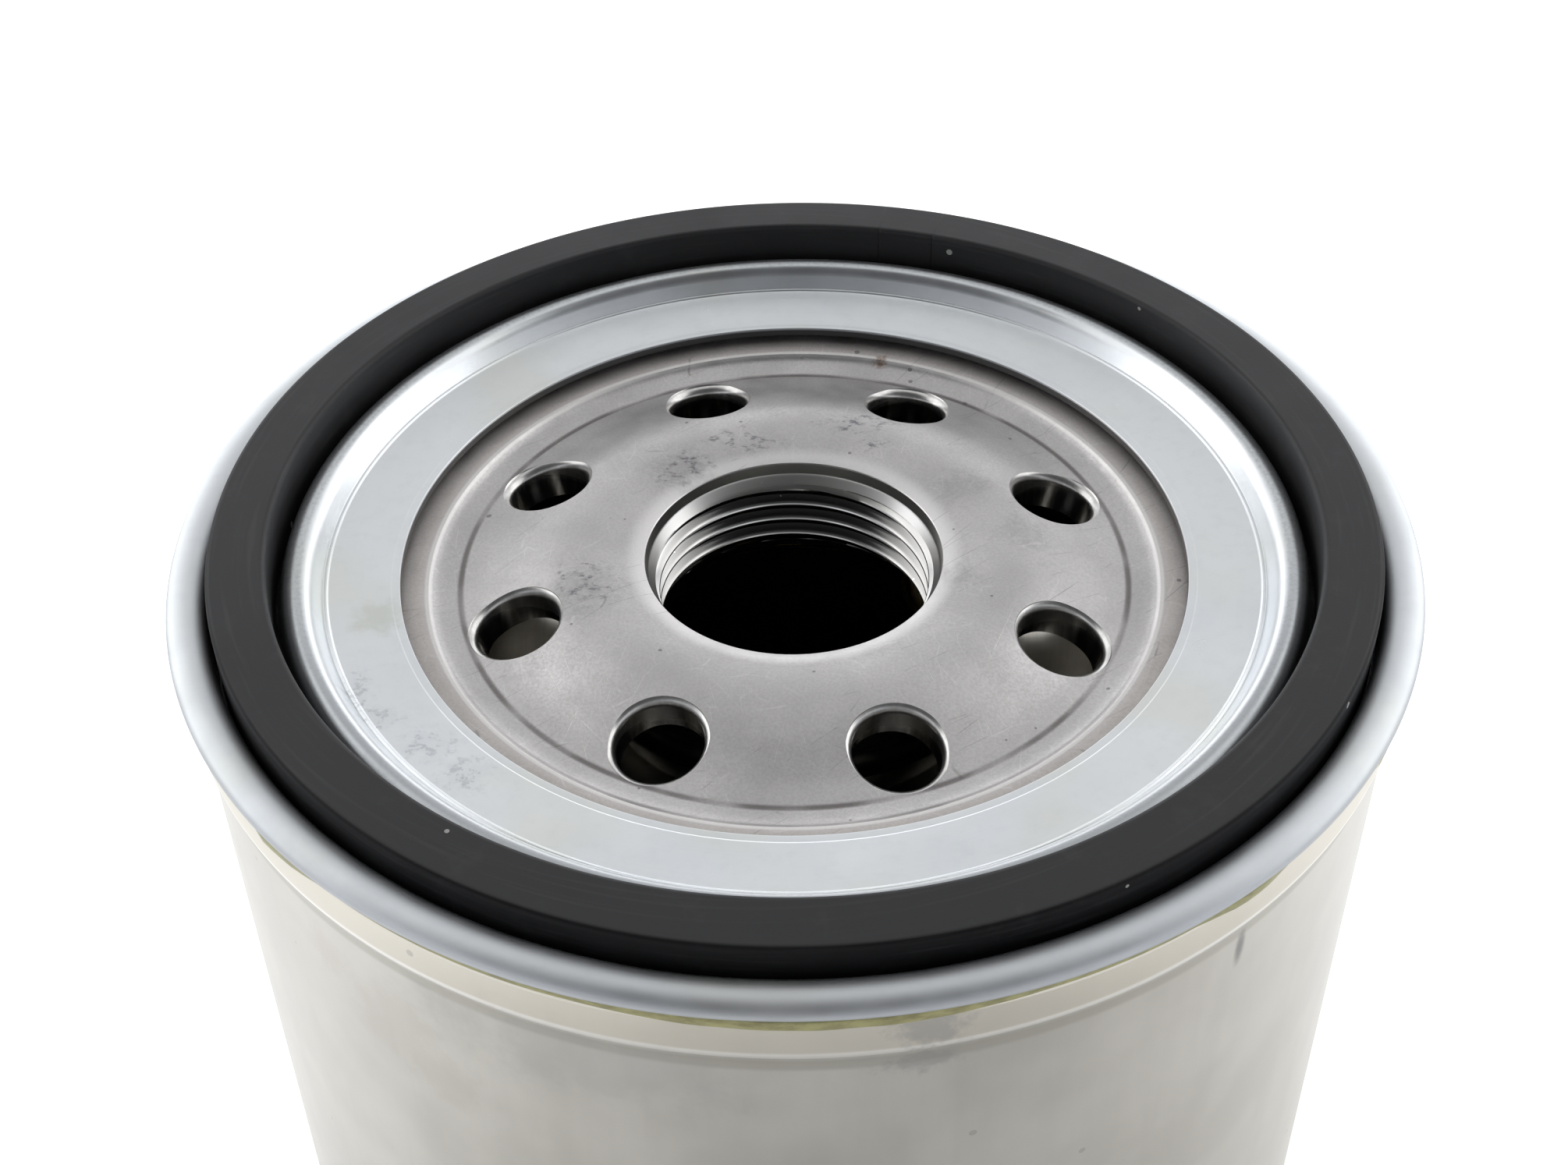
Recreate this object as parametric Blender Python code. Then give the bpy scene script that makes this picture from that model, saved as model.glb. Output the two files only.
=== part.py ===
"""A spin-on oil filter, standing on its closed end with the mounting face up.

The filter's axis is Z and its foot rests at z = 0. Heights near the mounting face are
depths below the gasket's top face, because that face is what seals on the engine.
Three groups: the shell, the element that floats in it on a spring, and the bypass
valve's poppet, which lifts off a seat in the element's lower end.
"""

import math

import bmesh
import bpy
from mathutils import Matrix, Vector

MM = 0.001

# Driving dimensions, in millimetres.
HEIGHT = 114.0
CAN_RADIUS = 45.1
CAN_SHEET = 0.5
SEAM_RADIUS = 46.2
SEAM_DROP = 1.8
BEAD_RADIUS = 45.6
FOOT_CORNER = 9.0
FOOT_PANEL_RADIUS = 25.0
FOOT_PANEL_RISE = 1.6

GASKET_OUTER = 43.0
GASKET_INNER = 38.76
GASKET_HEIGHT = 5.1

RING_EDGE_RADIUS = 29.6
RING_SHEET = 0.7

PLATE_RADIUS = 44.1
PLATE_UNDERSIDE = 8.9
NECK_LENGTH = 13.2
THREAD_MAJOR = 11.0
THREAD_MINOR = 10.3
THREAD_PITCH = 1.5

INLET_COUNT = 8
INLET_CIRCLE = 21.7
INLET_LEVEL = 5.83  # depth of the domed plate at the holes' centres
INLET_LEAN = 17.0  # the holes stand square to the dome, so their axes lean outward
INLET_RADIUS = 3.2
INLET_CHAMFER = 0.6
INLET_PHASE = 18.8

ELEMENT_TOP = 101.1
ELEMENT_FOOT = 20.7
ELEMENT_RADIUS = 39.6
ELEMENT_SHEET = 0.5
PLEATS = 36
PLEAT_OUTER = 38.0
PLEAT_INNER = 19.3
PAPER = 0.7
FOLD_GAP = 0.5
TUBE_RADIUS = 18.5
TUBE_SHEET = 0.6

SEAT_RADIUS = 7.4
POPPET_RADIUS = 8.8
STEM_RADIUS = 2.2
CAGE_RADIUS = 11.3
CAGE_TOP = 36.0

GAP = 0.3
LARGE_STEPS = 40
INNER_STEPS = 28
SMALL_STEPS = 20


def depth(below_gasket):
    """The height above the foot of a level given as a depth below the gasket's face."""
    return HEIGHT - below_gasket


def clear_scene():
    for obj in list(bpy.data.objects):
        bpy.data.objects.remove(obj, do_unlink=True)


def material(name, colour, metallic, roughness):
    made = bpy.data.materials.new(name)
    made.use_nodes = True
    shader = made.node_tree.nodes["Principled BSDF"]
    shader.inputs["Base Color"].default_value = (*colour, 1.0)
    shader.inputs["Metallic"].default_value = metallic
    shader.inputs["Roughness"].default_value = roughness
    return made


def axis_empty(name, height, parent=None):
    """An empty on the filter's axis, the line along which every moving piece slides."""
    empty = bpy.data.objects.new(name, None)
    empty.empty_display_size = 5 * MM
    bpy.context.scene.collection.objects.link(empty)
    if parent:
        empty.parent = parent
        height -= parent.location.z / MM
    empty.location = (0, 0, height * MM)
    return empty


def world_height(empty):
    return empty.location.z + (world_height(empty.parent) if empty.parent else 0.0)


def hang(obj, look, parent):
    """Links an object whose shape is drawn at its place in the filter, under its empty."""
    obj.data.materials.append(look)
    bpy.context.scene.collection.objects.link(obj)
    if parent:
        obj.parent = parent
        obj.location.z = -world_height(parent)
    return obj


def add_mesh(name, bm, look, parent=None):
    bmesh.ops.recalc_face_normals(bm, faces=bm.faces)
    mesh = bpy.data.meshes.new(name)
    bm.to_mesh(mesh)
    bm.free()
    mesh.transform(Matrix.Scale(MM, 4))
    mesh.shade_smooth()
    mesh.set_sharp_from_angle(angle=math.radians(35))
    return hang(bpy.data.objects.new(name, mesh), look, parent)


def revolve(bm, outline, steps):
    """Turns an outline of (radius, height) points once round Z.

    An outline that starts and ends on the axis stays open there, and any other is closed.
    """
    points = [bm.verts.new((radius, 0, height)) for radius, height in outline]
    on_axis = outline[0][0] == 0 and outline[-1][0] == 0
    ends = points[1:] if on_axis else points[1:] + points[:1]
    edges = [bm.edges.new(pair) for pair in zip(points, ends)]
    bmesh.ops.spin(
        bm, geom=points + edges, axis=(0, 0, 1), cent=(0, 0, 0),
        steps=steps, angle=2 * math.pi, use_merge=True,
    )
    bmesh.ops.remove_doubles(bm, verts=bm.verts, dist=1e-4)


def turned(name, outline, look, steps, parent=None):
    bm = bmesh.new()
    revolve(bm, outline, steps)
    return add_mesh(name, bm, look, parent)


def sheet(path, thickness):
    """The closed outline of a pressed sheet: its path, and the same path moved aside.

    The thickness lies to the right of the path's direction of travel.
    """
    points = [Vector(p) for p in path]
    sides = []
    for start, end in zip(points, points[1:]):
        along = (end - start).normalized()
        sides.append(Vector((along.y, -along.x)))
    moved = [points[0] + sides[0] * thickness]
    for point, before, after in zip(points[1:], sides, sides[1:]):
        mitre = (before + after).normalized()
        moved.append(point + mitre * (thickness / mitre.dot(after)))
    moved.append(points[-1] + sides[-1] * thickness)
    return [tuple(p) for p in points + moved[::-1]]


def arc(centre, radius, start, end, count):
    """Points along an arc in the (radius, height) plane, with the angles in degrees."""
    angles = [math.radians(start + (end - start) * i / (count - 1)) for i in range(count)]
    return [
        (centre[0] + radius * math.cos(a), centre[1] + radius * math.sin(a)) for a in angles
    ]


def cut(obj, name, cutter_bm):
    """Takes a hidden cutter's shape out of an object that stands at the world's origin or under an empty."""
    bmesh.ops.recalc_face_normals(cutter_bm, faces=cutter_bm.faces)
    mesh = bpy.data.meshes.new(name)
    cutter_bm.to_mesh(mesh)
    cutter_bm.free()
    mesh.transform(Matrix.Scale(MM, 4))
    cutter = bpy.data.objects.new(name, mesh)
    bpy.context.scene.collection.objects.link(cutter)
    cutter.hide_render = True
    cutter.display_type = "WIRE"
    modifier = obj.modifiers.new(name, "BOOLEAN")
    modifier.operation = "DIFFERENCE"
    modifier.solver = "EXACT"
    modifier.object = cutter


# The shell


def make_canister(look):
    """The deep-drawn can: a rim for the seam, a bead below it, a plain wall and a foot."""
    rim = CAN_RADIUS - 0.05
    corner_centre = (CAN_RADIUS - FOOT_CORNER, FOOT_CORNER)
    path = [
        (rim, depth(2.85)),
        (rim, depth(3.7)),
        (BEAD_RADIUS, depth(4.15)),
        (BEAD_RADIUS, depth(6.9)),
        (CAN_RADIUS, depth(8.3)),
        *arc(corner_centre, FOOT_CORNER, 0, -90, 4),
        (FOOT_PANEL_RADIUS, 0),
        (FOOT_PANEL_RADIUS - 2.2, FOOT_PANEL_RISE),
        (0, FOOT_PANEL_RISE),
    ]
    outline = sheet(path, CAN_SHEET)
    # Both faces of the sheet end on the axis, so the outline is read from there.
    count = len(path)
    return turned("canister", outline[count:] + outline[:count], look, LARGE_STEPS)


def make_seam_plate(look):
    """The plated ring: a flat inner flange, a rounded crown, the gasket's groove and the rolled seam."""
    path = [
        (RING_EDGE_RADIUS, depth(4.68)),
        (35.2, depth(4.2)),
        (36.1, depth(2.75)),
        (37.1, depth(2.42)),
        (38.05, depth(3.0)),
        (38.4, depth(5.0)),
        (38.8, depth(5.4)),
        (43.3, depth(5.4)),
        (43.35, depth(2.7)),
        (44.0, depth(1.95)),
        (45.1, depth(SEAM_DROP)),
        (45.95, depth(2.1)),
        (SEAM_RADIUS, depth(2.7)),
    ]
    return turned("seam_plate", sheet(path, RING_SHEET), look, LARGE_STEPS)


def make_seam_sealant(look):
    """The bead of compound that closes the seam, where it shows below the plated lip."""
    outline = [
        (45.3, depth(3.0)),
        (45.95, depth(3.0)),
        (46.0, depth(3.3)),
        (45.85, depth(3.66)),
        (45.35, depth(3.6)),
    ]
    return turned("seam_sealant", outline, look, LARGE_STEPS)


def make_gasket(look):
    edge = 0.35
    top = HEIGHT
    bottom = HEIGHT - GASKET_HEIGHT
    outline = [
        (GASKET_INNER, bottom),
        (GASKET_OUTER, bottom),
        (GASKET_OUTER, top - edge),
        (GASKET_OUTER - edge, top),
        (GASKET_INNER + edge, top),
        (GASKET_INNER, top - edge),
    ]
    return turned("sealing_gasket", outline, look, LARGE_STEPS)


def plate_outline():
    """The base plate's section from the bore's upper chamfer, over the top and down to the neck's mouth."""
    return [
        (THREAD_MAJOR + 0.3, depth(5.4)),
        (12.7, depth(5.02)),
        (14.4, depth(4.73)),
        (16.2, depth(4.63)),
        (18.0, depth(4.82)),
        (19.8, depth(5.26)),
        (INLET_CIRCLE, depth(INLET_LEVEL)),
        (23.5, depth(6.36)),
        (25.35, depth(6.66)),
        (27.2, depth(6.34)),
        (27.8, depth(5.98)),
        (36.6, depth(5.9)),
        (37.5, depth(6.5)),
        (PLATE_RADIUS, depth(6.5)),
        (PLATE_RADIUS, depth(9.4)),
        (37.2, depth(9.4)),
        (36.2, depth(PLATE_UNDERSIDE)),
        (28.4, depth(PLATE_UNDERSIDE)),
        (25.7, depth(9.7)),
        (21.8, depth(8.95)),
        (18.6, depth(8.0)),
        (16.4, depth(7.8)),
        (14.4, depth(8.2)),
        (13.35, depth(9.3)),
        (13.2, depth(NECK_LENGTH)),
        (THREAD_MAJOR + 0.3, depth(NECK_LENGTH)),
    ]


def make_base_plate(look):
    """The thick threaded plate. Its bore is a true helix whose ends fade out at two plain rims."""
    low = depth(NECK_LENGTH - 0.3)
    high = depth(5.7)
    rows_per_turn = 2
    turns = math.ceil((high - low) / THREAD_PITCH)
    rows = rows_per_turn * (turns + 1)
    steps = LARGE_STEPS
    bm = bmesh.new()

    def ring(radius, height):
        return [
            bm.verts.new((
                radius * math.cos(2 * math.pi * j / steps),
                radius * math.sin(2 * math.pi * j / steps),
                height,
            ))
            for j in range(steps)
        ]

    def thread_row(k):
        made = []
        for j in range(steps):
            turn = j / steps
            height = low + THREAD_PITCH * (k / rows_per_turn - 1 + turn)
            inside = low < height < high
            crest = inside and k % rows_per_turn == 0
            radius = THREAD_MINOR if crest else THREAD_MAJOR
            height = min(max(height, low), high)
            angle = 2 * math.pi * turn
            made.append(bm.verts.new((radius * math.cos(angle), radius * math.sin(angle), height)))
        return made

    def bridge(first, second):
        for j in range(steps):
            after = (j + 1) % steps
            bm.faces.new((first[j], first[after], second[after], second[j]))

    plain = [ring(radius, height) for radius, height in plate_outline()]
    for first, second in zip(plain, plain[1:]):
        bridge(first, second)
    thread = [thread_row(k) for k in range(rows + 1)]
    for k in range(rows):
        for j in range(steps - 1):
            bm.faces.new((thread[k][j], thread[k][j + 1], thread[k + 1][j + 1], thread[k + 1][j]))
    # The last step of each row meets the start of the row one turn above it.
    last = steps - 1
    for k in range(rows - rows_per_turn):
        above = k + rows_per_turn
        bm.faces.new((thread[k][last], thread[above][0], thread[above + 1][0], thread[k + 1][last]))
    bridge(plain[-1], thread[0])
    bridge(thread[rows], plain[0])
    bmesh.ops.remove_doubles(bm, verts=bm.verts, dist=1e-4)
    plate = add_mesh("base_plate", bm, look)

    cutter = bmesh.new()
    outline = [
        (0, -6),
        (INLET_RADIUS, -6),
        (INLET_RADIUS, -INLET_CHAMFER),
        (INLET_RADIUS + INLET_CHAMFER + 1.4, 1.4),
        (0, 1.4),
    ]
    lean = Matrix.Rotation(math.radians(INLET_LEAN), 4, "Y")
    out = Matrix.Translation((INLET_CIRCLE, 0, depth(INLET_LEVEL)))
    for i in range(INLET_COUNT):
        turn = Matrix.Rotation(math.radians(INLET_PHASE + 360 * i / INLET_COUNT), 4, "Z")
        hole = bmesh.new()
        revolve(hole, outline, 16)
        bmesh.ops.transform(hole, verts=hole.verts, matrix=turn @ out @ lean)
        append(cutter, hole)
    cut(plate, "inlet_hole_cutter", cutter)
    return plate


def append(target, source):
    """Moves one bmesh's shape into another."""
    mesh = bpy.data.meshes.new("scrap")
    source.to_mesh(mesh)
    source.free()
    target.from_mesh(mesh)
    bpy.data.meshes.remove(mesh)


def coil(name, low, high, bottom_radius, top_radius, wire, turns, look, parent=None):
    """A round-wire compression spring between two seats, as a bevelled helix."""
    per_turn = 15
    count = round(turns * per_turn)
    curve = bpy.data.curves.new(name, "CURVE")
    curve.dimensions = "3D"
    spline = curve.splines.new("POLY")
    spline.points.add(count)
    for i, point in enumerate(spline.points):
        share = i / count
        radius = bottom_radius + (top_radius - bottom_radius) * share
        # The first and last half turns lie nearly flat, as ground ends do.
        rise = min(max((share * turns - 0.4) / (turns - 0.8), 0.0), 1.0)
        height = low + wire + (high - low - 2 * wire) * rise
        angle = 2 * math.pi * turns * share
        place = (radius * math.cos(angle), radius * math.sin(angle), height)
        point.co = (*(c * MM for c in place), 1.0)
    curve.bevel_depth = wire * MM
    curve.bevel_resolution = 1
    curve.use_fill_caps = True
    return hang(bpy.data.objects.new(name, curve), look, parent)


# The element


def make_upper_end_cap(look, parent):
    """The pressed dish that the inlet holes look down on, with a cup for the grommet."""
    path = [
        (14.3, ELEMENT_TOP - 3.2),
        (16.8, ELEMENT_TOP - 3.2),
        (16.8, ELEMENT_TOP),
        (ELEMENT_RADIUS - 1.0, ELEMENT_TOP),
        (ELEMENT_RADIUS, ELEMENT_TOP - 1.0),
        (ELEMENT_RADIUS, ELEMENT_TOP - 5.8),
    ]
    return turned("upper_end_cap", sheet(path, ELEMENT_SHEET), look, INNER_STEPS, parent)


def make_lower_end_cap(look, parent):
    path = [
        (ELEMENT_RADIUS, ELEMENT_FOOT + 5.8),
        (ELEMENT_RADIUS, ELEMENT_FOOT + 1.0),
        (ELEMENT_RADIUS - 1.0, ELEMENT_FOOT),
        (9.6, ELEMENT_FOOT),
    ]
    return turned("lower_end_cap", sheet(path, ELEMENT_SHEET), look, INNER_STEPS, parent)


def make_grommet(look, parent):
    """The rubber ring that seals the element on the neck and stops it under the plate."""
    outline = [
        (13.65, ELEMENT_TOP - 2.9),
        (16.4, ELEMENT_TOP - 2.9),
        (16.4, ELEMENT_TOP + 1.6),
        (15.6, ELEMENT_TOP + 3.7),
        (15.0, ELEMENT_TOP + 3.7),
        (13.65, ELEMENT_TOP + 2.4),
    ]
    return turned("neck_grommet", outline, look, INNER_STEPS, parent)


def ring_outline(inner, outer, low, high):
    return [(inner, low), (outer, low), (outer, high), (inner, high)]


def make_media(look, low, high, parent):
    """The pleated paper: one folded band, blunt at each fold."""
    outer_side = []
    inner_side = []
    half_gap = FOLD_GAP / 2
    for i in range(PLEATS):
        tip = 2 * math.pi * i / PLEATS
        valley = tip + math.pi / PLEATS
        for side in (-1, 1):
            outer_side.append((PLEAT_OUTER, tip + side * (PAPER + half_gap) / PLEAT_OUTER))
            inner_side.append((PLEAT_OUTER - PAPER, tip + side * half_gap / PLEAT_OUTER))
        for side in (-1, 1):
            outer_side.append((PLEAT_INNER + PAPER, valley + side * half_gap / PLEAT_INNER))
            inner_side.append((PLEAT_INNER, valley + side * (PAPER + half_gap) / PLEAT_INNER))
    bm = bmesh.new()

    def place(points, height):
        return [bm.verts.new((r * math.cos(a), r * math.sin(a), height)) for r, a in points]

    rings = [
        place(outer_side, low), place(outer_side, high),
        place(inner_side, high), place(inner_side, low),
    ]
    count = len(outer_side)
    for first, second in zip(rings, rings[1:] + rings[:1]):
        for j in range(count):
            after = (j + 1) % count
            bm.faces.new((first[j], first[after], second[after], second[j]))
    return add_mesh("pleated_media", bm, look, parent)


def make_media_clip(look, low, high, parent):
    """The folded strip that grips the paper's two ends on one outer fold."""
    path = [
        (PLEAT_OUTER - 3.2, 1.3),
        (PLEAT_OUTER + 0.3, 1.3),
        (PLEAT_OUTER + 0.3, -1.3),
        (PLEAT_OUTER - 3.2, -1.3),
    ]
    outline = sheet(path[::-1], 0.35)
    bm = bmesh.new()
    face = bm.faces.new([bm.verts.new((x, y, low)) for x, y in outline])
    raised = bmesh.ops.extrude_face_region(bm, geom=[face])
    tops = [item for item in raised["geom"] if isinstance(item, bmesh.types.BMVert)]
    bmesh.ops.translate(bm, verts=tops, vec=(0, 0, high - low))
    return add_mesh("media_clip", bm, look, parent)


def make_centre_tube(look, low, high, parent):
    """The perforated tube that the paper leans on."""
    inner = TUBE_RADIUS - TUBE_SHEET
    tube = turned("centre_tube", ring_outline(inner, TUBE_RADIUS, low, high), look, INNER_STEPS, parent)
    rows = 5
    per_row = 4
    hole_radius = 3.4
    cutter = bmesh.new()
    for row in range(rows):
        height = low + (high - low) * (row + 0.5) / rows
        for i in range(per_row):
            angle = 360 * (i + 0.5 * ((row + 1) % 2)) / per_row + 3
            turn = Matrix.Rotation(math.radians(angle), 4, "Z")
            place = Matrix.Translation((TUBE_RADIUS, 0, height)) @ Matrix.Rotation(math.pi / 2, 4, "Y")
            bmesh.ops.create_cone(
                cutter, cap_ends=True, segments=8, radius1=hole_radius, radius2=hole_radius,
                depth=6, matrix=turn @ place,
            )
    cut(tube, "tube_hole_cutter", cutter)
    return tube


def make_spring_plate(look, parent):
    """The pressed ring that centres the hold-down spring under the element."""
    top = ELEMENT_FOOT - 1.4
    path = [(13.0, top - 3.6), (13.0, top - 0.6), (13.6, top), (20.8, top), (21.6, top - 0.9)]
    return turned("spring_plate", sheet(path, 0.8), look, INNER_STEPS, parent)


# The bypass valve


def make_bypass_seat(look, parent):
    foot = ELEMENT_FOOT - 1.1
    outline = [
        (SEAT_RADIUS, foot),
        (12.4, foot),
        (12.4, foot + 0.8),
        (9.2, foot + 0.8),
        (9.2, foot + 2.2),
        (8.5, foot + 2.8),
        (SEAT_RADIUS, foot + 2.8),
    ]
    return turned("bypass_seat", outline, look, SMALL_STEPS, parent)


def make_bypass_cage(look, parent):
    """An inverted pressed cup with four windows, which backs the valve's spring."""
    foot = ELEMENT_FOOT + ELEMENT_SHEET + GAP
    path = [
        (2.7, CAGE_TOP),
        (CAGE_RADIUS - 0.8, CAGE_TOP),
        (CAGE_RADIUS, CAGE_TOP - 0.8),
        (CAGE_RADIUS, foot + 0.5),
        (16.5, foot + 0.5),
    ]
    cage = turned("bypass_cage", sheet(path, 0.5), look, SMALL_STEPS, parent)
    cutter = bmesh.new()
    for i in range(4):
        turn = Matrix.Rotation(math.radians(45 + 90 * i), 4, "Z")
        place = Matrix.Translation((CAGE_RADIUS, 0, 28.6))
        size = Matrix.Diagonal((6, 9, 9, 1))
        bmesh.ops.create_cube(cutter, size=1, matrix=turn @ place @ size)
    cut(cage, "cage_window_cutter", cutter)
    return cage


def make_poppet(look, low, parent):
    """The valve's disc, its guide stem above and the rivet head that holds the seal below."""
    outline = [
        (0, low),
        (3.6, low),
        (3.6, low + 0.7),
        (STEM_RADIUS, low + 0.7),
        (STEM_RADIUS, low + 2.3),
        (POPPET_RADIUS, low + 2.3),
        (POPPET_RADIUS, low + 3.5),
        (STEM_RADIUS + 0.6, low + 3.9),
        (STEM_RADIUS, low + 4.5),
        (STEM_RADIUS, low + 16.4),
        (STEM_RADIUS - 0.5, low + 16.9),
        (0, low + 16.9),
    ]
    return turned("bypass_poppet", outline, look, SMALL_STEPS, parent)


def main():
    clear_scene()
    tinplate = material("tinplate", (0.55, 0.53, 0.50), 1.0, 0.32)
    zinc = material("zinc_plate", (0.66, 0.69, 0.72), 1.0, 0.35)
    steel = material("bare_steel", (0.42, 0.41, 0.40), 1.0, 0.38)
    bright_tin = material("bright_tinplate", (0.70, 0.68, 0.63), 1.0, 0.22)
    spring_steel = material("spring_steel", (0.30, 0.30, 0.31), 1.0, 0.35)
    black_rubber = material("black_rubber", (0.02, 0.02, 0.02), 0.0, 0.55)
    compound = material("seam_compound", (0.35, 0.33, 0.16), 0.0, 0.5)
    paper = material("filter_paper", (0.72, 0.60, 0.36), 0.0, 0.85)
    bond = material("plastisol", (0.60, 0.22, 0.10), 0.0, 0.6)
    nylon = material("black_nylon", (0.05, 0.05, 0.055), 0.0, 0.45)

    element = axis_empty("element_axis", ELEMENT_FOOT)
    poppet = axis_empty("poppet_axis", ELEMENT_FOOT + 1.0, element)

    make_canister(tinplate)
    make_seam_plate(zinc)
    make_seam_sealant(compound)
    make_base_plate(steel)
    make_gasket(black_rubber)
    panel_top = FOOT_PANEL_RISE + CAN_SHEET
    plate_foot = ELEMENT_FOOT - 1.4 - 0.8
    coil("element_spring", panel_top + GAP, plate_foot - GAP, 18.5, 16.6, 1.1, 3.5, spring_steel)

    bond_height = 2.3
    cap_low = ELEMENT_FOOT + ELEMENT_SHEET
    cap_high = ELEMENT_TOP - ELEMENT_SHEET
    media_low = cap_low + bond_height + 2 * GAP
    media_high = cap_high - bond_height - 2 * GAP
    make_upper_end_cap(bright_tin, element)
    make_lower_end_cap(bright_tin, element)
    make_grommet(black_rubber, element)
    for name, low in (("lower_bond", cap_low + GAP), ("upper_bond", media_high + GAP)):
        outline = ring_outline(PLEAT_INNER - 0.3, PLEAT_OUTER + 0.6, low, low + bond_height)
        turned(name, outline, bond, INNER_STEPS, element)
    make_media(paper, media_low, media_high, element)
    make_media_clip(bright_tin, media_low + 0.4, media_high - 0.4, element)
    make_centre_tube(steel, cap_low + GAP, cap_high - 0.4, element)
    make_spring_plate(steel, element)

    make_bypass_seat(steel, element)
    make_bypass_cage(steel, element)
    poppet_low = ELEMENT_FOOT + 1.0
    make_poppet(nylon, poppet_low, poppet)
    seal_low = poppet_low + 0.7 + GAP
    seal = ring_outline(STEM_RADIUS + GAP, POPPET_RADIUS, seal_low, seal_low + 1.0)
    turned("bypass_seal", seal, black_rubber, SMALL_STEPS, poppet)
    coil(
        "bypass_spring", poppet_low + 3.5 + GAP, CAGE_TOP - 0.5 - GAP,
        6.0, 6.0, 0.5, 4.5, spring_steel, element,
    )


main()
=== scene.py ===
"""The looks of a spin-on oil filter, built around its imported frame.

Outlines are in millimetres, as (radius, height) or (radius, height, rounding). The filter's
axis is Z, its foot is at height 0, and depth() measures down from the gasket's face.
"""

import math

import bmesh
import bpy
import numpy as np
from mathutils import Matrix, Vector


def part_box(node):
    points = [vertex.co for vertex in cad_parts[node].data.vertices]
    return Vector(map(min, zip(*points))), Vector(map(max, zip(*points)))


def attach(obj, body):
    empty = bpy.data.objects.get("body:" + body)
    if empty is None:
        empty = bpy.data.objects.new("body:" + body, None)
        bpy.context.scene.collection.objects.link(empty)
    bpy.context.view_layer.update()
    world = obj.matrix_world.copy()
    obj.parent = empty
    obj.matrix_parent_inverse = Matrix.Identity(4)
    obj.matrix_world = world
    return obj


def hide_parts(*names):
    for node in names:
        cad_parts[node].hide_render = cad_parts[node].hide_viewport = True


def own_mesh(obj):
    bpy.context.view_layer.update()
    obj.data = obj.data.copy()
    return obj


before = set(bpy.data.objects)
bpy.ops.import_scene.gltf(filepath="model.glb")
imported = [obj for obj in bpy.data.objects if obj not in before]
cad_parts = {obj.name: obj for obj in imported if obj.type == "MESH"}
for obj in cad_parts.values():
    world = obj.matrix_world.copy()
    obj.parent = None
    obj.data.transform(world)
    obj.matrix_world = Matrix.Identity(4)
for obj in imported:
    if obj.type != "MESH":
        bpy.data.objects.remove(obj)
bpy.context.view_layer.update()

MM = 0.001
CAN_RADIUS = 45.1
BEAD_RADIUS = 45.6
INLET_COUNT = 8
INLET_CIRCLE = 21.7
INLET_LEVEL = 5.83  # depth of the domed plate at the holes' centres
INLET_LEAN = math.radians(14.5)  # the holes stand square to the dome, so their axes lean outward
INLET_RADIUS = 3.2
INLET_PHASE = 18.8
THREAD_MAJOR = 11.0
THREAD_MINOR = 10.3
THREAD_PITCH = 1.5
THREAD_CREST_DEPTH = 8.78  # where the thread's crest stands at the back of the bore
NECK_DEPTH = 13.2
LARGE_STEPS = 288
INNER_STEPS = 160
SMALL_STEPS = 96


def span(node):
    """A CAD node's foot and top as heights, and its outer radius."""
    low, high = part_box(node)
    return low.z / MM, high.z / MM, high.x / MM


GASKET_FOOT, HEIGHT, GASKET_RADIUS = span("sealing_gasket")


def depth(below_gasket):
    """The height of a level given as a depth below the gasket's face."""
    return HEIGHT - below_gasket


def hung(*corners):
    """Outline corners whose second numbers are depths below the gasket's face."""
    return [(radius, depth(below), *rounding) for radius, below, *rounding in corners]


# Outlines


def softened(corners, closed=True, steps=5):
    """An outline's points, with each corner that has a rounding turned into a short curve."""
    made = []
    count = len(corners)
    for i, corner in enumerate(corners):
        here = Vector(corner[:2])
        reach = corner[2] if len(corner) > 2 else 0.0
        if not reach or (not closed and i in (0, count - 1)):
            made.append(tuple(here))
            continue
        before = Vector(corners[i - 1][:2]) - here
        after = Vector(corners[(i + 1) % count][:2]) - here
        start = here + before.normalized() * min(reach, 0.48 * before.length)
        end = here + after.normalized() * min(reach, 0.48 * after.length)
        for k in range(steps + 1):
            t = k / steps
            made.append(tuple(start.lerp(here, t).lerp(here.lerp(end, t), t)))
    return made


def block(inner, outer, low, high, roundings, steps=5):
    """The outline of a ring with a four-sided section, from the inner corner of its foot."""
    corners = ((inner, low), (outer, low), (outer, high), (inner, high))
    return softened([(*corner, r) for corner, r in zip(corners, roundings)], steps=steps)


def arc(centre, radius, start, end, count):
    angles = [math.radians(start + (end - start) * i / (count - 1)) for i in range(count)]
    return [(centre[0] + radius * math.cos(a), centre[1] + radius * math.sin(a)) for a in angles]


def sheet(corners, thickness, edge=0.0, steps=5):
    """The closed outline of a pressed sheet, whose thickness lies to the right of its path."""
    points = [Vector(p) for p in softened(corners, closed=False, steps=steps)]
    sides = []
    for start, end in zip(points, points[1:]):
        along = (end - start).normalized()
        sides.append(Vector((along.y, -along.x)))
    moved = [points[0] + sides[0] * thickness]
    for point, before, after in zip(points[1:], sides, sides[1:]):
        mitre = (before + after).normalized()
        moved.append(point + mitre * (thickness / mitre.dot(after)))
    moved.append(points[-1] + sides[-1] * thickness)
    outline = [tuple(p) for p in points + moved[::-1]]
    if edge:
        last = len(points) - 1
        for i in (0, last, last + 1, len(outline) - 1):
            outline[i] = (*outline[i], edge)
        return softened(outline, steps=3)
    return outline


# Meshes


def link_object(name, data):
    obj = bpy.data.objects.new(name, data)
    bpy.context.scene.collection.objects.link(obj)
    return obj


def mesh_from(name, bm):
    """A new mesh from bm, which is freed."""
    mesh = bpy.data.meshes.new(name)
    bm.to_mesh(mesh)
    bm.free()
    return mesh


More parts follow.
